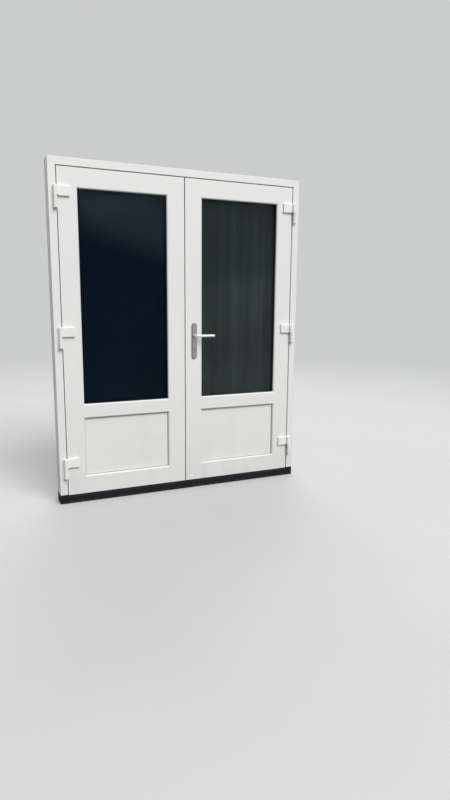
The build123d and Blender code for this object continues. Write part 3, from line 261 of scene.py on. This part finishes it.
def spread(material, factor, low, high, to_low=0.0, to_high=1.0):
    """Maps a range of numbers to another and clamps it."""
    node = put(material, "ShaderNodeMapRange",
               {"Value": factor, "From Min": low, "From Max": high, "To Min": to_low,
                "To Max": to_high}, clamp=True)
    return node.outputs[0]


def patches(material, scale, detail, low, high, stretch=EVEN):
    """Soft patches: 0 where the noise is under low, and 1 where it is over high."""
    return spread(material, cloud(material, scale, detail, stretch), low, high)


def blend_colours(material, factor, first, second):
    """A colour between two, by a factor."""
    node = put(material, "ShaderNodeMix", data_type="RGBA")
    for socket, value in ((node.inputs[0], factor), (node.inputs[6], first),
                          (node.inputs[7], second)):
        if isinstance(value, bpy.types.NodeSocket):
            join(material, value, socket)
        elif socket.type == "RGBA":
            socket.default_value = (*value[:3], 1.0)
        else:
            socket.default_value = value
    return node.outputs[2]


def shaded(tone, share):
    """A tone, lighter or darker by a share."""
    return tuple(share * part for part in tone)


def paint(material, shader, factor, first, second):
    """The surface's colour, between two by a factor."""
    join(material, blend_colours(material, factor, first, second), shader.inputs["Base Color"])


def rough(material, shader, pattern, low, high, seen=MOST_NOISE):
    """The surface's roughness, which follows a pattern from low to high."""
    join(material, spread(material, pattern, *seen, low, high), shader.inputs["Roughness"])


def relief(material, shader, height, depth, strength):
    """Bump from a height, its depth in metres."""
    bump = put(material, "ShaderNodeBump", {"Height": height, "Distance": depth,
                                            "Strength": strength})
    join(material, bump.outputs[0], shader.inputs["Normal"])


def split_place(material):
    """X, Y and Z of a point of the piece."""
    return put(material, "ShaderNodeSeparateXYZ", {"Vector": place(material)}).outputs


def off_middle(material, value, low, high):
    """How far a number lies from the middle of low and high, to either side."""
    return maths(material, "ABSOLUTE", maths(material, "SUBTRACT", value, (low + high) / 2))


def weld_line(material, low, high, half_width):
    """1 along the mitres of the welded frame round a box, seen from front or back."""
    x, _, z = split_place(material)
    across = off_middle(material, x, low.x, high.x)
    up = off_middle(material, z, low.z, high.z)
    offset = (high.z - low.z) / 2 - (high.x - low.x) / 2
    distance = maths(material, "ABSOLUTE", maths(
        material, "ADD", maths(material, "SUBTRACT", across, up), offset))
    return spread(material, distance, half_width, 2.5 * half_width, to_low=1.0, to_high=0.0)


def profile_finish(name, colours, box=None, weld_width=0.0):
    """White profile skin: faint weathering, dust low down, fine peel and mitred welds."""
    broad_share, run_share, even_share, weld_share = 0.25, 0.30, 0.26, 0.6
    dusty_below, clean_above, dust_on_top = 0.05, 0.75, 0.12
    peel_share = 0.25
    material, shader = new_finish(name)
    broad = patches(material, scale=1.7, detail=4.0, low=0.42, high=0.72)
    runs = patches(material, scale=9.0, detail=5.0, low=0.52, high=0.78, stretch=RAIN_RUNS)
    _, _, z = split_place(material)
    low_down = spread(material, z, dusty_below, clean_above, to_low=1.0, to_high=dust_on_top)
    settled = maths(material, "MULTIPLY_ADD", runs, run_share,
                    maths(material, "MULTIPLY", broad, broad_share))
    grime = maths(material, "MULTIPLY", maths(material, "ADD", settled, even_share), low_down)
    height = maths(material, "MULTIPLY", cloud(material, scale=900.0, detail=2.0), peel_share)
    if box:
        weld = weld_line(material, *box, weld_width)
        grime = maths(material, "MAXIMUM", grime, maths(material, "MULTIPLY", weld, weld_share))
        height = maths(material, "SUBTRACT", height, weld)
    paint(material, shader, grime, colours.profile_white, colours.profile_grime)
    rough(material, shader, cloud(material, scale=14.0, detail=4.0), low=0.27, high=0.40)
    relief(material, shader, height, depth=0.0003, strength=0.35)
    shader.inputs["Specular IOR Level"].default_value = 0.42
    return material


def painted_finish(name, tone, shade, roughness, peel_depth):
    """Painted metal or moulded plastic: tone mottled with a shade of it, and fine peel."""
    material, shader = new_finish(name)
    mottle = patches(material, scale=24.0, detail=5.0, low=0.40, high=0.75)
    paint(material, shader, mottle, tone, shaded(tone, shade))
    rough(material, shader, cloud(material, scale=60.0, detail=4.0), low=roughness - 0.06,
          high=roughness + 0.08)
    relief(material, shader, cloud(material, scale=1200.0, detail=2.0), peel_depth,
           strength=0.4)
    return material


def threshold_finish(name, colours):
    """Near black threshold with paving dust along its foot and faint scuffs on top."""
    dust_height, dust_share, scuff_share = 0.022, 0.35, 0.075
    material, shader = new_finish(name)
    _, _, z = split_place(material)
    foot = spread(material, z, 0.0, dust_height, to_low=1.0, to_high=0.0)
    dust = maths(material, "MULTIPLY", foot,
                 patches(material, scale=30.0, detail=6.0, low=0.40, high=0.75))
    scuffs = patches(material, scale=45.0, detail=6.0, low=0.6, high=0.8, stretch=SCUFFS)
    worn = maths(material, "MAXIMUM", maths(material, "MULTIPLY", dust, dust_share),
                 maths(material, "MULTIPLY", scuffs, scuff_share))
    paint(material, shader, worn, colours.threshold_dark, colours.threshold_dust)
    rough(material, shader, cloud(material, scale=20.0, detail=5.0), low=0.42, high=0.6)
    relief(material, shader, cloud(material, scale=700.0, detail=3.0), depth=0.0004,
           strength=0.4)
    shader.inputs["Specular IOR Level"].default_value = 0.18
    return material


def rubber_finish(name, tone):
    """Seal rubber, drawn along its length."""
    pale_share, pale_lift = 1.35, 0.01
    material, shader = new_finish(name)
    drawn = cloud(material, scale=160.0, detail=4.0, stretch=DRAWN_RUBBER)
    pale = tuple(min(1.0, part * pale_share + pale_lift) for part in tone)
    paint(material, shader, spread(material, drawn, 0.35, 0.75), tone, pale)
    rough(material, shader, drawn, low=0.55, high=0.8)
    relief(material, shader, drawn, depth=0.0003, strength=0.5)
    shader.inputs["Specular IOR Level"].default_value = 0.3
    return material


def painted_rim_shade(material, low, high, width):
    """1 in a narrow rim inside the edge of a round-ended plate from low to high, for painted
    shade.
    """
    x, _, z = split_place(material)
    radius = (high.x - low.x) / 2
    across = off_middle(material, x, low.x, high.x)
    up = off_middle(material, z, low.z, high.z)
    past = maths(material, "MAXIMUM", maths(
        material, "SUBTRACT", up, (high.z - low.z) / 2 - radius), 0.0)
    out = maths(material, "SQRT", maths(
        material, "ADD", maths(material, "MULTIPLY", across, across),
        maths(material, "MULTIPLY", past, past)))
    return spread(material, out, radius - width, radius - 0.5 * width)


def brushed_finish(name, tone, roughness, stretch, metallic=1.0, box=None, rim_shade_width=0.0):
    """Metal brushed along an axis, with painted shade in a darker rim where it is a plate with a
    box.
    """
    dull_share, rim_shade_share = 0.8, 0.4
    grain_share, blotch_share = 0.5, 0.4
    material, shader = new_finish(name)
    grain = cloud(material, scale=1400.0, detail=3.0, stretch=stretch)
    blotches = patches(material, scale=26.0, detail=4.0, low=0.35, high=0.75)
    worn = maths(material, "MULTIPLY_ADD", grain, grain_share,
                 maths(material, "MULTIPLY", blotches, blotch_share))
    # A plate's darker rim is painted shade at its edge
    if box:
        brushed = blend_colours(material, worn, tone, shaded(tone, dull_share))
        paint(material, shader, painted_rim_shade(material, *box, rim_shade_width), brushed,
              shaded(tone, rim_shade_share))
    else:
        paint(material, shader, worn, tone, shaded(tone, dull_share))
    rough(material, shader, grain, low=roughness - 0.07, high=roughness + 0.07)
    relief(material, shader, grain, depth=0.00005, strength=0.35)
    shader.inputs["Metallic"].default_value = metallic
    return material


def zinc_finish(name, tone):
    """Galvanised steel with its spangles."""
    material, shader = new_finish(name)
    spangle = put(material, "ShaderNodeTexVoronoi", {"Vector": place(material), "Scale": 90.0})
    shade = put(material, "ShaderNodeSeparateColor",
                {"Color": spangle.outputs["Color"]}).outputs[0]
    paint(material, shader, shade, tone, shaded(tone, 0.7))
    rough(material, shader, shade, low=0.32, high=0.55, seen=(0.0, 1.0))
    relief(material, shader, shade, depth=0.0001, strength=0.3)
    shader.inputs["Metallic"].default_value = 0.9
    return material


def clear_glass_finish(name, colours):
    """Outer pane: clear float glass with the faintest film of dust."""
    material, shader = new_finish(name)
    dust = patches(material, scale=6.0, detail=6.0, low=0.45, high=0.85)
    paint(material, shader, dust, colours.glass_clear, colours.glass_dust)
    shader.inputs["Roughness"].default_value = 0.0
    shader.inputs["Transmission Weight"].default_value = 1.0
    shader.inputs["IOR"].default_value = 1.10
    return material


def painted_room_glass_finish(name, upper, lower, level, slope, fade, streaks):
    """Inner pane: painted shade for the dim room behind it, with a second tone of painted
    reflection and shade above a soft sloping line, and upright folds of painted shade."""
    darkest, lightest = 0.6, 1.2
    material, shader = new_finish(name)
    x, _, z = split_place(material)
    height = maths(material, "SUBTRACT", z, maths(material, "MULTIPLY", x, slope))
    tone = blend_colours(material, spread(material, height, level - fade, level + fade),
                         lower, upper)
    folds = patches(material, scale=22.0, detail=3.0, low=0.35, high=0.68, stretch=FOLDS)
    broad = patches(material, scale=1.6, detail=2.0, low=0.35, high=0.65)
    mixed = maths(material, "ADD", maths(material, "MULTIPLY", folds, streaks),
                  maths(material, "MULTIPLY", broad, 1.0 - streaks), clamp=True)
    shade = spread(material, mixed, 0.0, 1.0, darkest, lightest)
    dimmed = put(material, "ShaderNodeVectorMath", {0: tone, "Scale": shade},
                 operation="SCALE")
    join(material, dimmed.outputs[0], shader.inputs["Base Color"])
    rough(material, shader, broad, low=0.10, high=0.16, seen=(0.0, 1.0))
    shader.inputs["IOR"].default_value = 1.1
    return material


# Meshes

def mesh_piece(name, build, body, material, stands_for=()):
    """Makes a mesh piece from what build adds to a bmesh, and lets it ride on its body."""
    mesh = bpy.data.meshes.new(name)
    shape = bmesh.new()
    build(shape)
    bmesh.ops.recalc_face_normals(shape, faces=shape.faces)
    for edge in shape.edges:
        edge.smooth = edge.calc_face_angle(0.0) < CREASE
    shape.to_mesh(mesh)
    shape.free()
    mesh.shade_smooth()
    piece = bpy.data.objects.new(name, mesh)
    bpy.context.scene.collection.objects.link(piece)
    mesh.materials.append(material)
    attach(piece, body)
    if stands_for:
        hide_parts(*stands_for)


def ring(shape, centre, radius, side, other, segments):
    """Vertices on a circle round a centre, in the plane of side and other."""
    return [shape.verts.new(centre + radius * (math.cos(turn) * side + math.sin(turn) * other))
            for turn in (2 * math.pi * k / segments for k in range(segments))]


def turned(shape, base, axis, outline, segments=48):
    """A turned solid from (radius, height) pairs along axis; it closes at radius 0."""
    axis = Vector(axis).normalized()
    side = axis.orthogonal().normalized()
    other = axis.cross(side)
    rings = []
    for radius, height in outline:
        centre = Vector(base) + axis * height
        rings.append(ring(shape, centre, radius, side, other, segments) if radius
                     else [shape.verts.new(centre)])
    for lower, upper in zip(rings, rings[1:]):
        for k in range(segments):
            corners = [lower[k % len(lower)], lower[(k + 1) % len(lower)],
                       upper[(k + 1) % len(upper)], upper[k % len(upper)]]
            shape.faces.new(list(dict.fromkeys(corners)))


def swept(shape, path, radii, segments=40):
    """A round bar through the points of path, each with its radius; its ends close."""
    rings = []
    side = None
    for index, point in enumerate(path):
        before = path[max(index - 1, 0)]
        after = path[min(index + 1, len(path) - 1)]
        along = (after - before).normalized()
        if side is None:
            side = along.orthogonal().normalized()
        side = (side - along * side.dot(along)).normalized()
        rings.append(ring(shape, point, radii[index], side, along.cross(side), segments))
    for lower, upper in zip(rings, rings[1:]):
        for k in range(segments):
            follow = (k + 1) % segments
            shape.faces.new((lower[k], lower[follow], upper[follow], upper[k]))
    for end, point in ((rings[0], path[0]), (rings[-1], path[-1])):
        tip = shape.verts.new(point)
        for k in range(segments):
            shape.faces.new((end[k], end[(k + 1) % segments], tip))


def joined(shape, outlines, closed=False):
    """Faces between outlines of as many vertices: a ring of them, or a bar with two ends."""
    pairs = list(zip(outlines, outlines[1:] + outlines[:1]))
    for here, after in pairs if closed else pairs[:-1]:
        for k in range(len(here)):
            follow = (k + 1) % len(here)
            shape.faces.new((here[k], here[follow], after[follow], after[k]))
    if not closed:
        for end in (outlines[0], outlines[-1]):
            shape.faces.new(end)


def bead(shape, low, high, face, width, height):
    """A soft seal just inside the opening from low to high, on the face at y = face."""
    outline = [(0.0, -SINK), *((across * width, out * height) for across, out in BEAD_OUTLINE),
               (width, -SINK)]
    joined(shape, [[shape.verts.new((x + to_x * inset, face - out, z + to_z * inset))
                    for inset, out in outline]
                   for x, z, to_x, to_z in ((low.x, low.z, 1, 1), (high.x, low.z, -1, 1),
                                            (high.x, high.z, -1, -1), (low.x, high.z, 1, -1))],
           closed=True)


def web(shape, ends_x, front, back, low_z, high_z, rounding, steps=6):
    """A block between two x, with its front edges rounded."""
    outline = [(back, low_z)]
    for corner_z, start in ((low_z + rounding, 3 * math.pi / 2), (high_z - rounding, math.pi)):
        for turn in (start - math.pi / 2 * step / steps for step in range(steps + 1)):
            outline.append((front + rounding + rounding * math.cos(turn),
                            corner_z + rounding * math.sin(turn)))
    outline.append((back, high_z))
    joined(shape, [[shape.verts.new((x, y, z)) for y, z in outline] for x in ends_x])


def lever_path(neck_x, start_y, bar_y, axis_z, end_x, bend, radius, out):
    """Points and radii of a lever: neck, quarter bend, bar and rounded tip."""
    bend_y = bar_y - out * bend
    rows = [(neck_x, start_y + (bend_y - start_y) * step / NECK_STEPS, radius)
            for step in range(NECK_STEPS + 1)]
    for step in range(1, BEND_STEPS + 1):
        turn = math.pi / 2 * step / BEND_STEPS
        rows.append((neck_x + bend * (1 - math.cos(turn)),
                     bend_y + out * bend * math.sin(turn), radius))
    for step in range(1, BAR_STEPS + 1):
        rows.append((neck_x + bend + (end_x - neck_x - bend) * step / BAR_STEPS, bar_y, radius))
    for step in range(1, TIP_STEPS + 1):
        turn = math.pi / 2 * step / TIP_TURN
        rows.append((end_x + radius * math.sin(turn), bar_y, radius * math.cos(turn)))
    return [Vector((x, y, axis_z)) for x, y, _ in rows], [row[2] for row in rows]


def height_pairs(vertices):
    """Foot and top of each hinge's share of the vertices."""
    pairs = []
    for height in sorted({round(v.co.z, 4) for v in vertices}):
        if not pairs or height - pairs[-1][1] > HINGE_SPACING:
            pairs.append([height, height])
        pairs[-1][1] = height
    return pairs


def knuckle_ends(node, low_end):
    """Middle of each knuckle's free end, found on the node's own vertices."""
    axis_x = math.copysign(HINGE_X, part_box(node)[0].x)
    near = [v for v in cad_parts[node].data.vertices
            if math.hypot(v.co.x - axis_x, v.co.y - HINGE_Y) < KNUCKLE_MARGIN * KNUCKLE_RADIUS]
    return [Vector((axis_x, HINGE_Y, pair[0 if low_end else 1])) for pair in height_pairs(near)]


def dress(nodes, material):
    """Gives CAD nodes their finish."""
    for name in nodes:
        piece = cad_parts[name]
        piece.data.materials.clear()
        piece.data.materials.append(material)


def both(*names):
    """The nodes of both leaves with these names."""
    return [f"{hand}_{name}" for hand in HANDS for name in names]


class FRENCHDOORS_OT_profiles(bpy.types.Operator):
    """Finish the welded frame, the leaves, their beads and panels"""

    bl_idname = "french_doors.profiles"
    bl_label = "White profiles"

    def execute(self, context):
        colours = context.scene.french_door_colours
        weld_width = context.scene.french_door_sizes.weld_width
        # The frame has no foot rail, so its box goes down to where no lower weld shows
        below = Vector((FRAME_LOW.x, FRAME_LOW.y,
                        FRAME_LOW.z - 2 * (FRAME_HIGH.z - FRAME_LOW.z)))
        dress(["outer_frame"], profile_finish("welded_frame", colours, (below, FRAME_HIGH),
                                              weld_width))
        for hand in HANDS:
            dress([f"{hand}_sash"], profile_finish(f"{hand}_leaf_profile", colours,
                                                   LEAF_BOXES[hand], weld_width))
        dress([*both("panel", "glazing_beads"), "false_mullion", "mullion_end_caps",
               "meeting_strip"], profile_finish("white_trim", colours))
        return {"FINISHED"}


class FRENCHDOORS_OT_glazing(bpy.types.Operator):
    """Finish the panes, their spacers, seals and packers"""

    bl_idname = "french_doors.glazing"
    bl_label = "Glazing"

    def execute(self, context):
        colours = context.scene.french_door_colours
        sizes = context.scene.french_door_sizes
        dress(both("outer_pane"), clear_glass_finish("float_glass", colours))
        # The inner panes get painted shade and painted reflection
        dress(["left_inner_pane"], painted_room_glass_finish(
            "left_painted_room_glass", colours.left_painted_top, colours.left_painted_foot, **LEFT_PAINTED_ROOM))
        dress(["right_inner_pane"], painted_room_glass_finish(
            "right_painted_room_glass", colours.right_painted_top, colours.right_painted_foot, **RIGHT_PAINTED_ROOM))
        dress(both("pane_spacer"), rubber_finish("spacer_bar", colours.spacer))
        dress(both("glazing_gaskets"), rubber_finish("glazing_seal", colours.glazing_seal))
        dress(both("packers"), painted_finish("packer_plastic", colours.packer, shade=0.7,
                                              roughness=0.45, peel_depth=0.0003))
        inward = Vector((LIP_COVER, 0.0, LIP_COVER))
        for kind, tone, slot in (("outer_pane", colours.glass_bead, "dark_gasket"),
                                 ("panel", colours.panel_bead, "light_gasket")):
            seal = rubber_finish(f"{kind}_bead", tone)
            for hand in HANDS:
                low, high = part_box(f"{hand}_{kind}")

                def seal_bead(shape):
                    bead(shape, low + inward, high - inward, low.y, sizes.bead_width,
                         sizes.bead_height)

                mesh_piece(f"{hand}_{kind}_bead", seal_bead, f"{hand}_leaf", seal)
        return {"FINISHED"}


class FRENCHDOORS_OT_threshold(bpy.types.Operator):
    """Finish the threshold and its end blocks"""

    bl_idname = "french_doors.threshold"
    bl_label = "Threshold"

    def execute(self, context):
        colours = context.scene.french_door_colours
        dress(["threshold", "threshold_end_blocks"],
              threshold_finish("threshold_black", colours))
        return {"FINISHED"}


class FRENCHDOORS_OT_seals(bpy.types.Operator):
    """Finish the seals round and between the leaves, and darken the meeting gap with a strip of
    painted shade
    """

    bl_idname = "french_doors.seals"
    bl_label = "Seals"

    def execute(self, context):
        sizes = context.scene.french_door_sizes
        rubber = rubber_finish("rebate_rubber", context.scene.french_door_colours.gasket_dark)
        dress(["rebate_gasket", "meeting_seals"], rubber)
        low, high = LEAF_BOXES["right"]

        # A dark rubber strip on the right leaf's edge, put in the meeting gap as painted shade
        def strip(shape):
            near = low.y + sizes.shade_strip_inset
            far = near + sizes.shade_strip_depth
            out, slope = low.x - sizes.shade_strip_height, sizes.shade_strip_height
            outline = ((low.x + SINK, near), (out, near + slope), (out, far - slope),
                       (low.x + SINK, far))
            joined(shape, [[shape.verts.new((x, y, z)) for x, y in outline]
                           for z in (low.z + sizes.shade_strip_inset, high.z - sizes.shade_strip_inset)])

        mesh_piece("meeting_gap_shade_strip", strip, "right_leaf", rubber)
        return {"FINISHED"}


class FRENCHDOORS_OT_hinges(bpy.types.Operator):
    """Finish the hinges, cap their knuckles and join these to the covers"""

    bl_idname = "french_doors.hinges"
    bl_label = "Hinges"

    def execute(self, context):
        colours = context.scene.french_door_colours
        sizes = context.scene.french_door_sizes
        white = painted_finish("hinge_paint", colours.hinge_white, shade=0.93, roughness=0.3,
                               peel_depth=0.0002)
        dress(both("frame_hinge_parts", "leaf_hinge_parts", "hinge_covers"), white)
        radius, height = sizes.cap_radius, sizes.cap_height
        outline = [(0.0, -2 * SINK), (radius, -2 * SINK),
                   *((across * radius, up * height) for across, up in CAP_OUTLINE)]
        for hand in HANDS:
            for word, part, body, turn in (
                    ("head", "leaf_hinge_parts", f"{hand}_leaf", 1),
                    ("foot", "frame_hinge_parts", "frame_set", -1)):

                def caps(shape):
                    for end in knuckle_ends(f"{hand}_{part}", turn < 0):
                        turned(shape, end, (0, 0, turn), outline)

                mesh_piece(f"{hand}_hinge_{word}_caps", caps, body, white)

            def webs(shape):
                name = f"{hand}_hinge_covers"
                low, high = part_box(name)
                side = math.copysign(1.0, low.x)
                outer = max(abs(low.x), abs(high.x)) - sizes.web_round
                inner = HINGE_X - WEB_END * KNUCKLE_RADIUS
                for foot, top in height_pairs(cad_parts[name].data.vertices):
                    web(shape, (side * outer, side * inner), low.y + sizes.web_recess,
                        high.y - sizes.web_back, foot + SINK, top - SINK, sizes.web_round)

            mesh_piece(f"{hand}_hinge_webs", webs, f"{hand}_leaf", white)
        dress(["hinge_pins", *both("hinge_screws")],
              brushed_finish("pin_steel", colours.steel, 0.3, GRAIN_ON_PINS))
        return {"FINISHED"}


class FRENCHDOORS_OT_handles(bpy.types.Operator):
    """Finish the backplates and bend the levers"""

    bl_idname = "french_doors.handles"
    bl_label = "Handles"

    def execute(self, context):
        colours = context.scene.french_door_colours
        sizes = context.scene.french_door_sizes
        dress(["outside_backplate", "inside_backplate"], brushed_finish(
            "plate_satin", colours.plate_grey, 0.34, GRAIN_UPRIGHT,
            box=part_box("outside_backplate"), rim_shade_width=sizes.rim_shade_width))
        satin = brushed_finish("lever_satin", colours.lever_satin, 0.3, GRAIN_ON_LEVERS,
                               metallic=0.35)
        for place_name, out in (("outside", -1), ("inside", 1)):
            low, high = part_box(f"{place_name}_lever")
            radius = (high.z - low.z) / 2
            start_y, bar_y = ((high.y, low.y + radius) if out < 0
                              else (low.y, high.y - radius))
            path, radii = lever_path(low.x + radius, start_y, bar_y, (high.z + low.z) / 2,
                                     high.x - radius, sizes.lever_bend, radius, out)

            def lever(shape):
                swept(shape, path, radii)

            mesh_piece(f"{place_name}_lever_bar", lever, "levers", satin,
                       (f"{place_name}_lever",))
        return {"FINISHED"}


class FRENCHDOORS_OT_lock(bpy.types.Operator):
    """Finish the lock, its keeps, the flush bolts and the steel inside the profiles"""

    bl_idname = "french_doors.lock"
    bl_label = "Lock and steel"

    def execute(self, context):
        colours = context.scene.french_door_colours
        dress(["lock_rail", "lock_case", "hook_cases", "drive_rods", "centre_keep", "hook_keeps",
               "flush_bolt_plates", "upper_flush_bolt", "lower_flush_bolt", "head_bolt_keep",
               "threshold_bolt_keep"],
              brushed_finish("lock_steel", colours.steel, 0.32, GRAIN_UPRIGHT))
        dress(["latch", "deadbolt", "upper_hook", "lower_hook", "spindle", "follower",
               "plate_screws"], brushed_finish("bolt_steel", colours.steel, 0.24, GRAIN_ACROSS))
        dress(["cylinder_body", "cylinder_plug"],
              brushed_finish("cylinder_nickel", colours.plate_grey, 0.28, GRAIN_THROUGH))
        dress(["frame_steel", *both("sash_steel")], zinc_finish("galvanised_tube", colours.zinc))
        return {"FINISHED"}


# Stage

def area_light(name, place_at, aim, size, power):
    """A large soft light that faces a point."""
    data = bpy.data.lights.new(name, "AREA")
    data.shape = "RECTANGLE"
    data.size, data.size_y = size
    data.energy = power
    light = bpy.data.objects.new(name, data)
    light.location = place_at
    light.rotation_mode = "QUATERNION"
    light.rotation_quaternion = (Vector(aim) - Vector(place_at)).to_track_quat("-Z", "Y")
    bpy.context.scene.collection.objects.link(light)


def wide_light(name, towards, strength, angle):
    """A wide light from a direction, as soft as an overcast sky."""
    data = bpy.data.lights.new(name, "SUN")
    data.energy = strength
    data.angle = math.radians(angle)
    light = bpy.data.objects.new(name, data)
    light.rotation_mode = "QUATERNION"
    light.rotation_quaternion = Vector(towards).to_track_quat("Z", "Y")
    bpy.context.scene.collection.objects.link(light)


def seen_directly(material):
    """1 for the camera, gloss and glass, and 0 for the light that a surface sends on."""
    rays = put(material, "ShaderNodeLightPath").outputs
    return maths(material, "MAXIMUM", rays["Is Camera Ray"], maths(
        material, "MAXIMUM", rays["Is Glossy Ray"], rays["Is Transmission Ray"]))


def floor_finish(stage):
    """Pale matt floor that turns into the backdrop further out, and sends little light up."""
    faint_shade = 0.97
    material, shader = new_finish("floor_pale")
    shown = seen_directly(material)
    mottle = spread(material, cloud(material, scale=0.8, detail=3.0), *MOST_NOISE)
    pale = blend_colours(material, mottle, stage.floor, shaded(stage.floor, faint_shade))
    paint(material, shader, shown, stage.floor_bounce, pale)
    shader.inputs["Roughness"].default_value = 0.8
    shader.inputs["Specular IOR Level"].default_value = 0.2
    away = put(material, "ShaderNodeVectorMath", {0: place(material)},
               operation="LENGTH").outputs["Value"]
    far = maths(material, "MULTIPLY",
                spread(material, away, stage.near_floor, stage.far_floor), shown)
    glow = put(material, "ShaderNodeEmission", {"Color": (*stage.backdrop, 1.0)})
    mixed = put(material, "ShaderNodeMixShader",
                {0: far, 1: shader.outputs[0], 2: glow.outputs[0]})
    join(material, mixed.outputs[0],
         material.node_tree.nodes["Material Output"].inputs["Surface"])
    return material


def light_world(world, stage):
    """Overhead light for surfaces, and a plain pale backdrop for camera, gloss and glass."""
    overhead = 0.9  # sine of the height from which the light is all overhead
    background = world.node_tree.nodes["Background"]
    direction = put(world, "ShaderNodeTexCoord").outputs["Generated"]
    height = put(world, "ShaderNodeSeparateXYZ", {"Vector": direction}).outputs[2]
    join(world, blend_colours(world, spread(world, height, 0.0, overhead), stage.horizon,
                              stage.zenith), background.inputs["Color"])
    backdrop = put(world, "ShaderNodeBackground", {"Color": (*stage.backdrop, 1.0)})
    mixed = put(world, "ShaderNodeMixShader",
                {0: seen_directly(world), 1: background.outputs[0], 2: backdrop.outputs[0]})
    join(world, mixed.outputs[0], world.node_tree.nodes["World Output"].inputs["Surface"])


def camera_turn():
    """The photograph's camera axes as a rotation."""
    forward = Vector((math.sin(CAMERA_YAW) * math.cos(CAMERA_PITCH),
                      math.cos(CAMERA_YAW) * math.cos(CAMERA_PITCH), math.sin(CAMERA_PITCH)))
    level_right = Vector((math.cos(CAMERA_YAW), -math.sin(CAMERA_YAW), 0.0))
    down = forward.cross(level_right)
    right = math.cos(CAMERA_ROLL) * level_right + math.sin(CAMERA_ROLL) * down
    return Matrix((right, -forward.cross(right), -forward)).transposed()


class FRENCHDOORS_OT_stage(bpy.types.Operator):
    """Lay the pale floor, set the soft light and stand the camera where the photograph was"""

    bl_idname = "french_doors.stage"
    bl_label = "Stage"

    def execute(self, context):
        stage = context.scene.french_door_stage
        scene = context.scene
        scene.view_settings.view_transform = "Standard"
        mesh = bpy.data.meshes.new("studio_floor")
        shape = bmesh.new()
        bmesh.ops.create_grid(shape, x_segments=FLOOR_CELLS, y_segments=FLOOR_CELLS,
                              size=FLOOR_REACH)
        shape.to_mesh(mesh)
        shape.free()
        floor = bpy.data.objects.new("studio_floor", mesh)
        floor.location = (0, 0, -FLOOR_DROP)
        scene.collection.objects.link(floor)
        mesh.materials.append(floor_finish(stage))
        world = bpy.data.worlds.new("surround")
        scene.world = world
        world.use_nodes = True
        light_world(world, stage)
        wide_light("key_light", KEY_FROM, stage.key_strength, KEY_ANGLE)
        wide_light("back_light", BACK_FROM, stage.back_strength, BACK_ANGLE)
        area_light("front_panel", PANEL_PLACE, PANEL_AIM, PANEL_SIZE, stage.panel_power)
        data = bpy.data.cameras.new("photo_camera")
        data.sensor_width = SENSOR_WIDTH
        data.lens = SENSOR_WIDTH * FOCAL_PIXELS / PHOTO_HEIGHT
        camera = bpy.data.objects.new("photo_camera", data)
        camera.matrix_world = Matrix.Translation(CAMERA_PLACE) @ camera_turn().to_4x4()
        scene.collection.objects.link(camera)
        scene.camera = camera
        return {"FINISHED"}


class FRENCHDOORS_PT_sidebar(bpy.types.Panel):
    """Lists the steps and the values of the french doors"""

    bl_idname = "FRENCHDOORS_PT_sidebar"
    bl_label = "French doors"
    bl_space_type = "VIEW_3D"
    bl_region_type = "UI"
    bl_category = "French doors"

    def draw(self, context):
        layout = self.layout
        for step in STEPS:
            layout.operator(step.bl_idname)
        for name, _ in GROUPS:
            group = getattr(context.scene, name)
            box = layout.box()
            for value in group.__annotations__:
                box.prop(group, value)


STEPS = (
    FRENCHDOORS_OT_profiles,
    FRENCHDOORS_OT_glazing,
    FRENCHDOORS_OT_threshold,
    FRENCHDOORS_OT_seals,
    FRENCHDOORS_OT_hinges,
    FRENCHDOORS_OT_handles,
    FRENCHDOORS_OT_lock,
    FRENCHDOORS_OT_stage,
)
GROUPS = (
    ("french_door_colours", FrenchDoorColours),
    ("french_door_sizes", FrenchDoorSizes),
    ("french_door_stage", FrenchDoorStage),
)


def register():
    """Registers the groups, the steps and the panel."""
    for name, group in GROUPS:
        bpy.utils.register_class(group)
        setattr(bpy.types.Scene, name, PointerProperty(type=group))
    for step in (*STEPS, FRENCHDOORS_PT_sidebar):
        bpy.utils.register_class(step)


def unregister():
    """Takes back what register added."""
    for step in reversed((*STEPS, FRENCHDOORS_PT_sidebar)):
        bpy.utils.unregister_class(step)
    for name, group in reversed(GROUPS):
        delattr(bpy.types.Scene, name)
        bpy.utils.unregister_class(group)


def main():
    register()
    for step in STEPS:
        group, name = step.bl_idname.split(".")
        getattr(getattr(bpy.ops, group), name)()


if __name__ == "__main__":
    main()
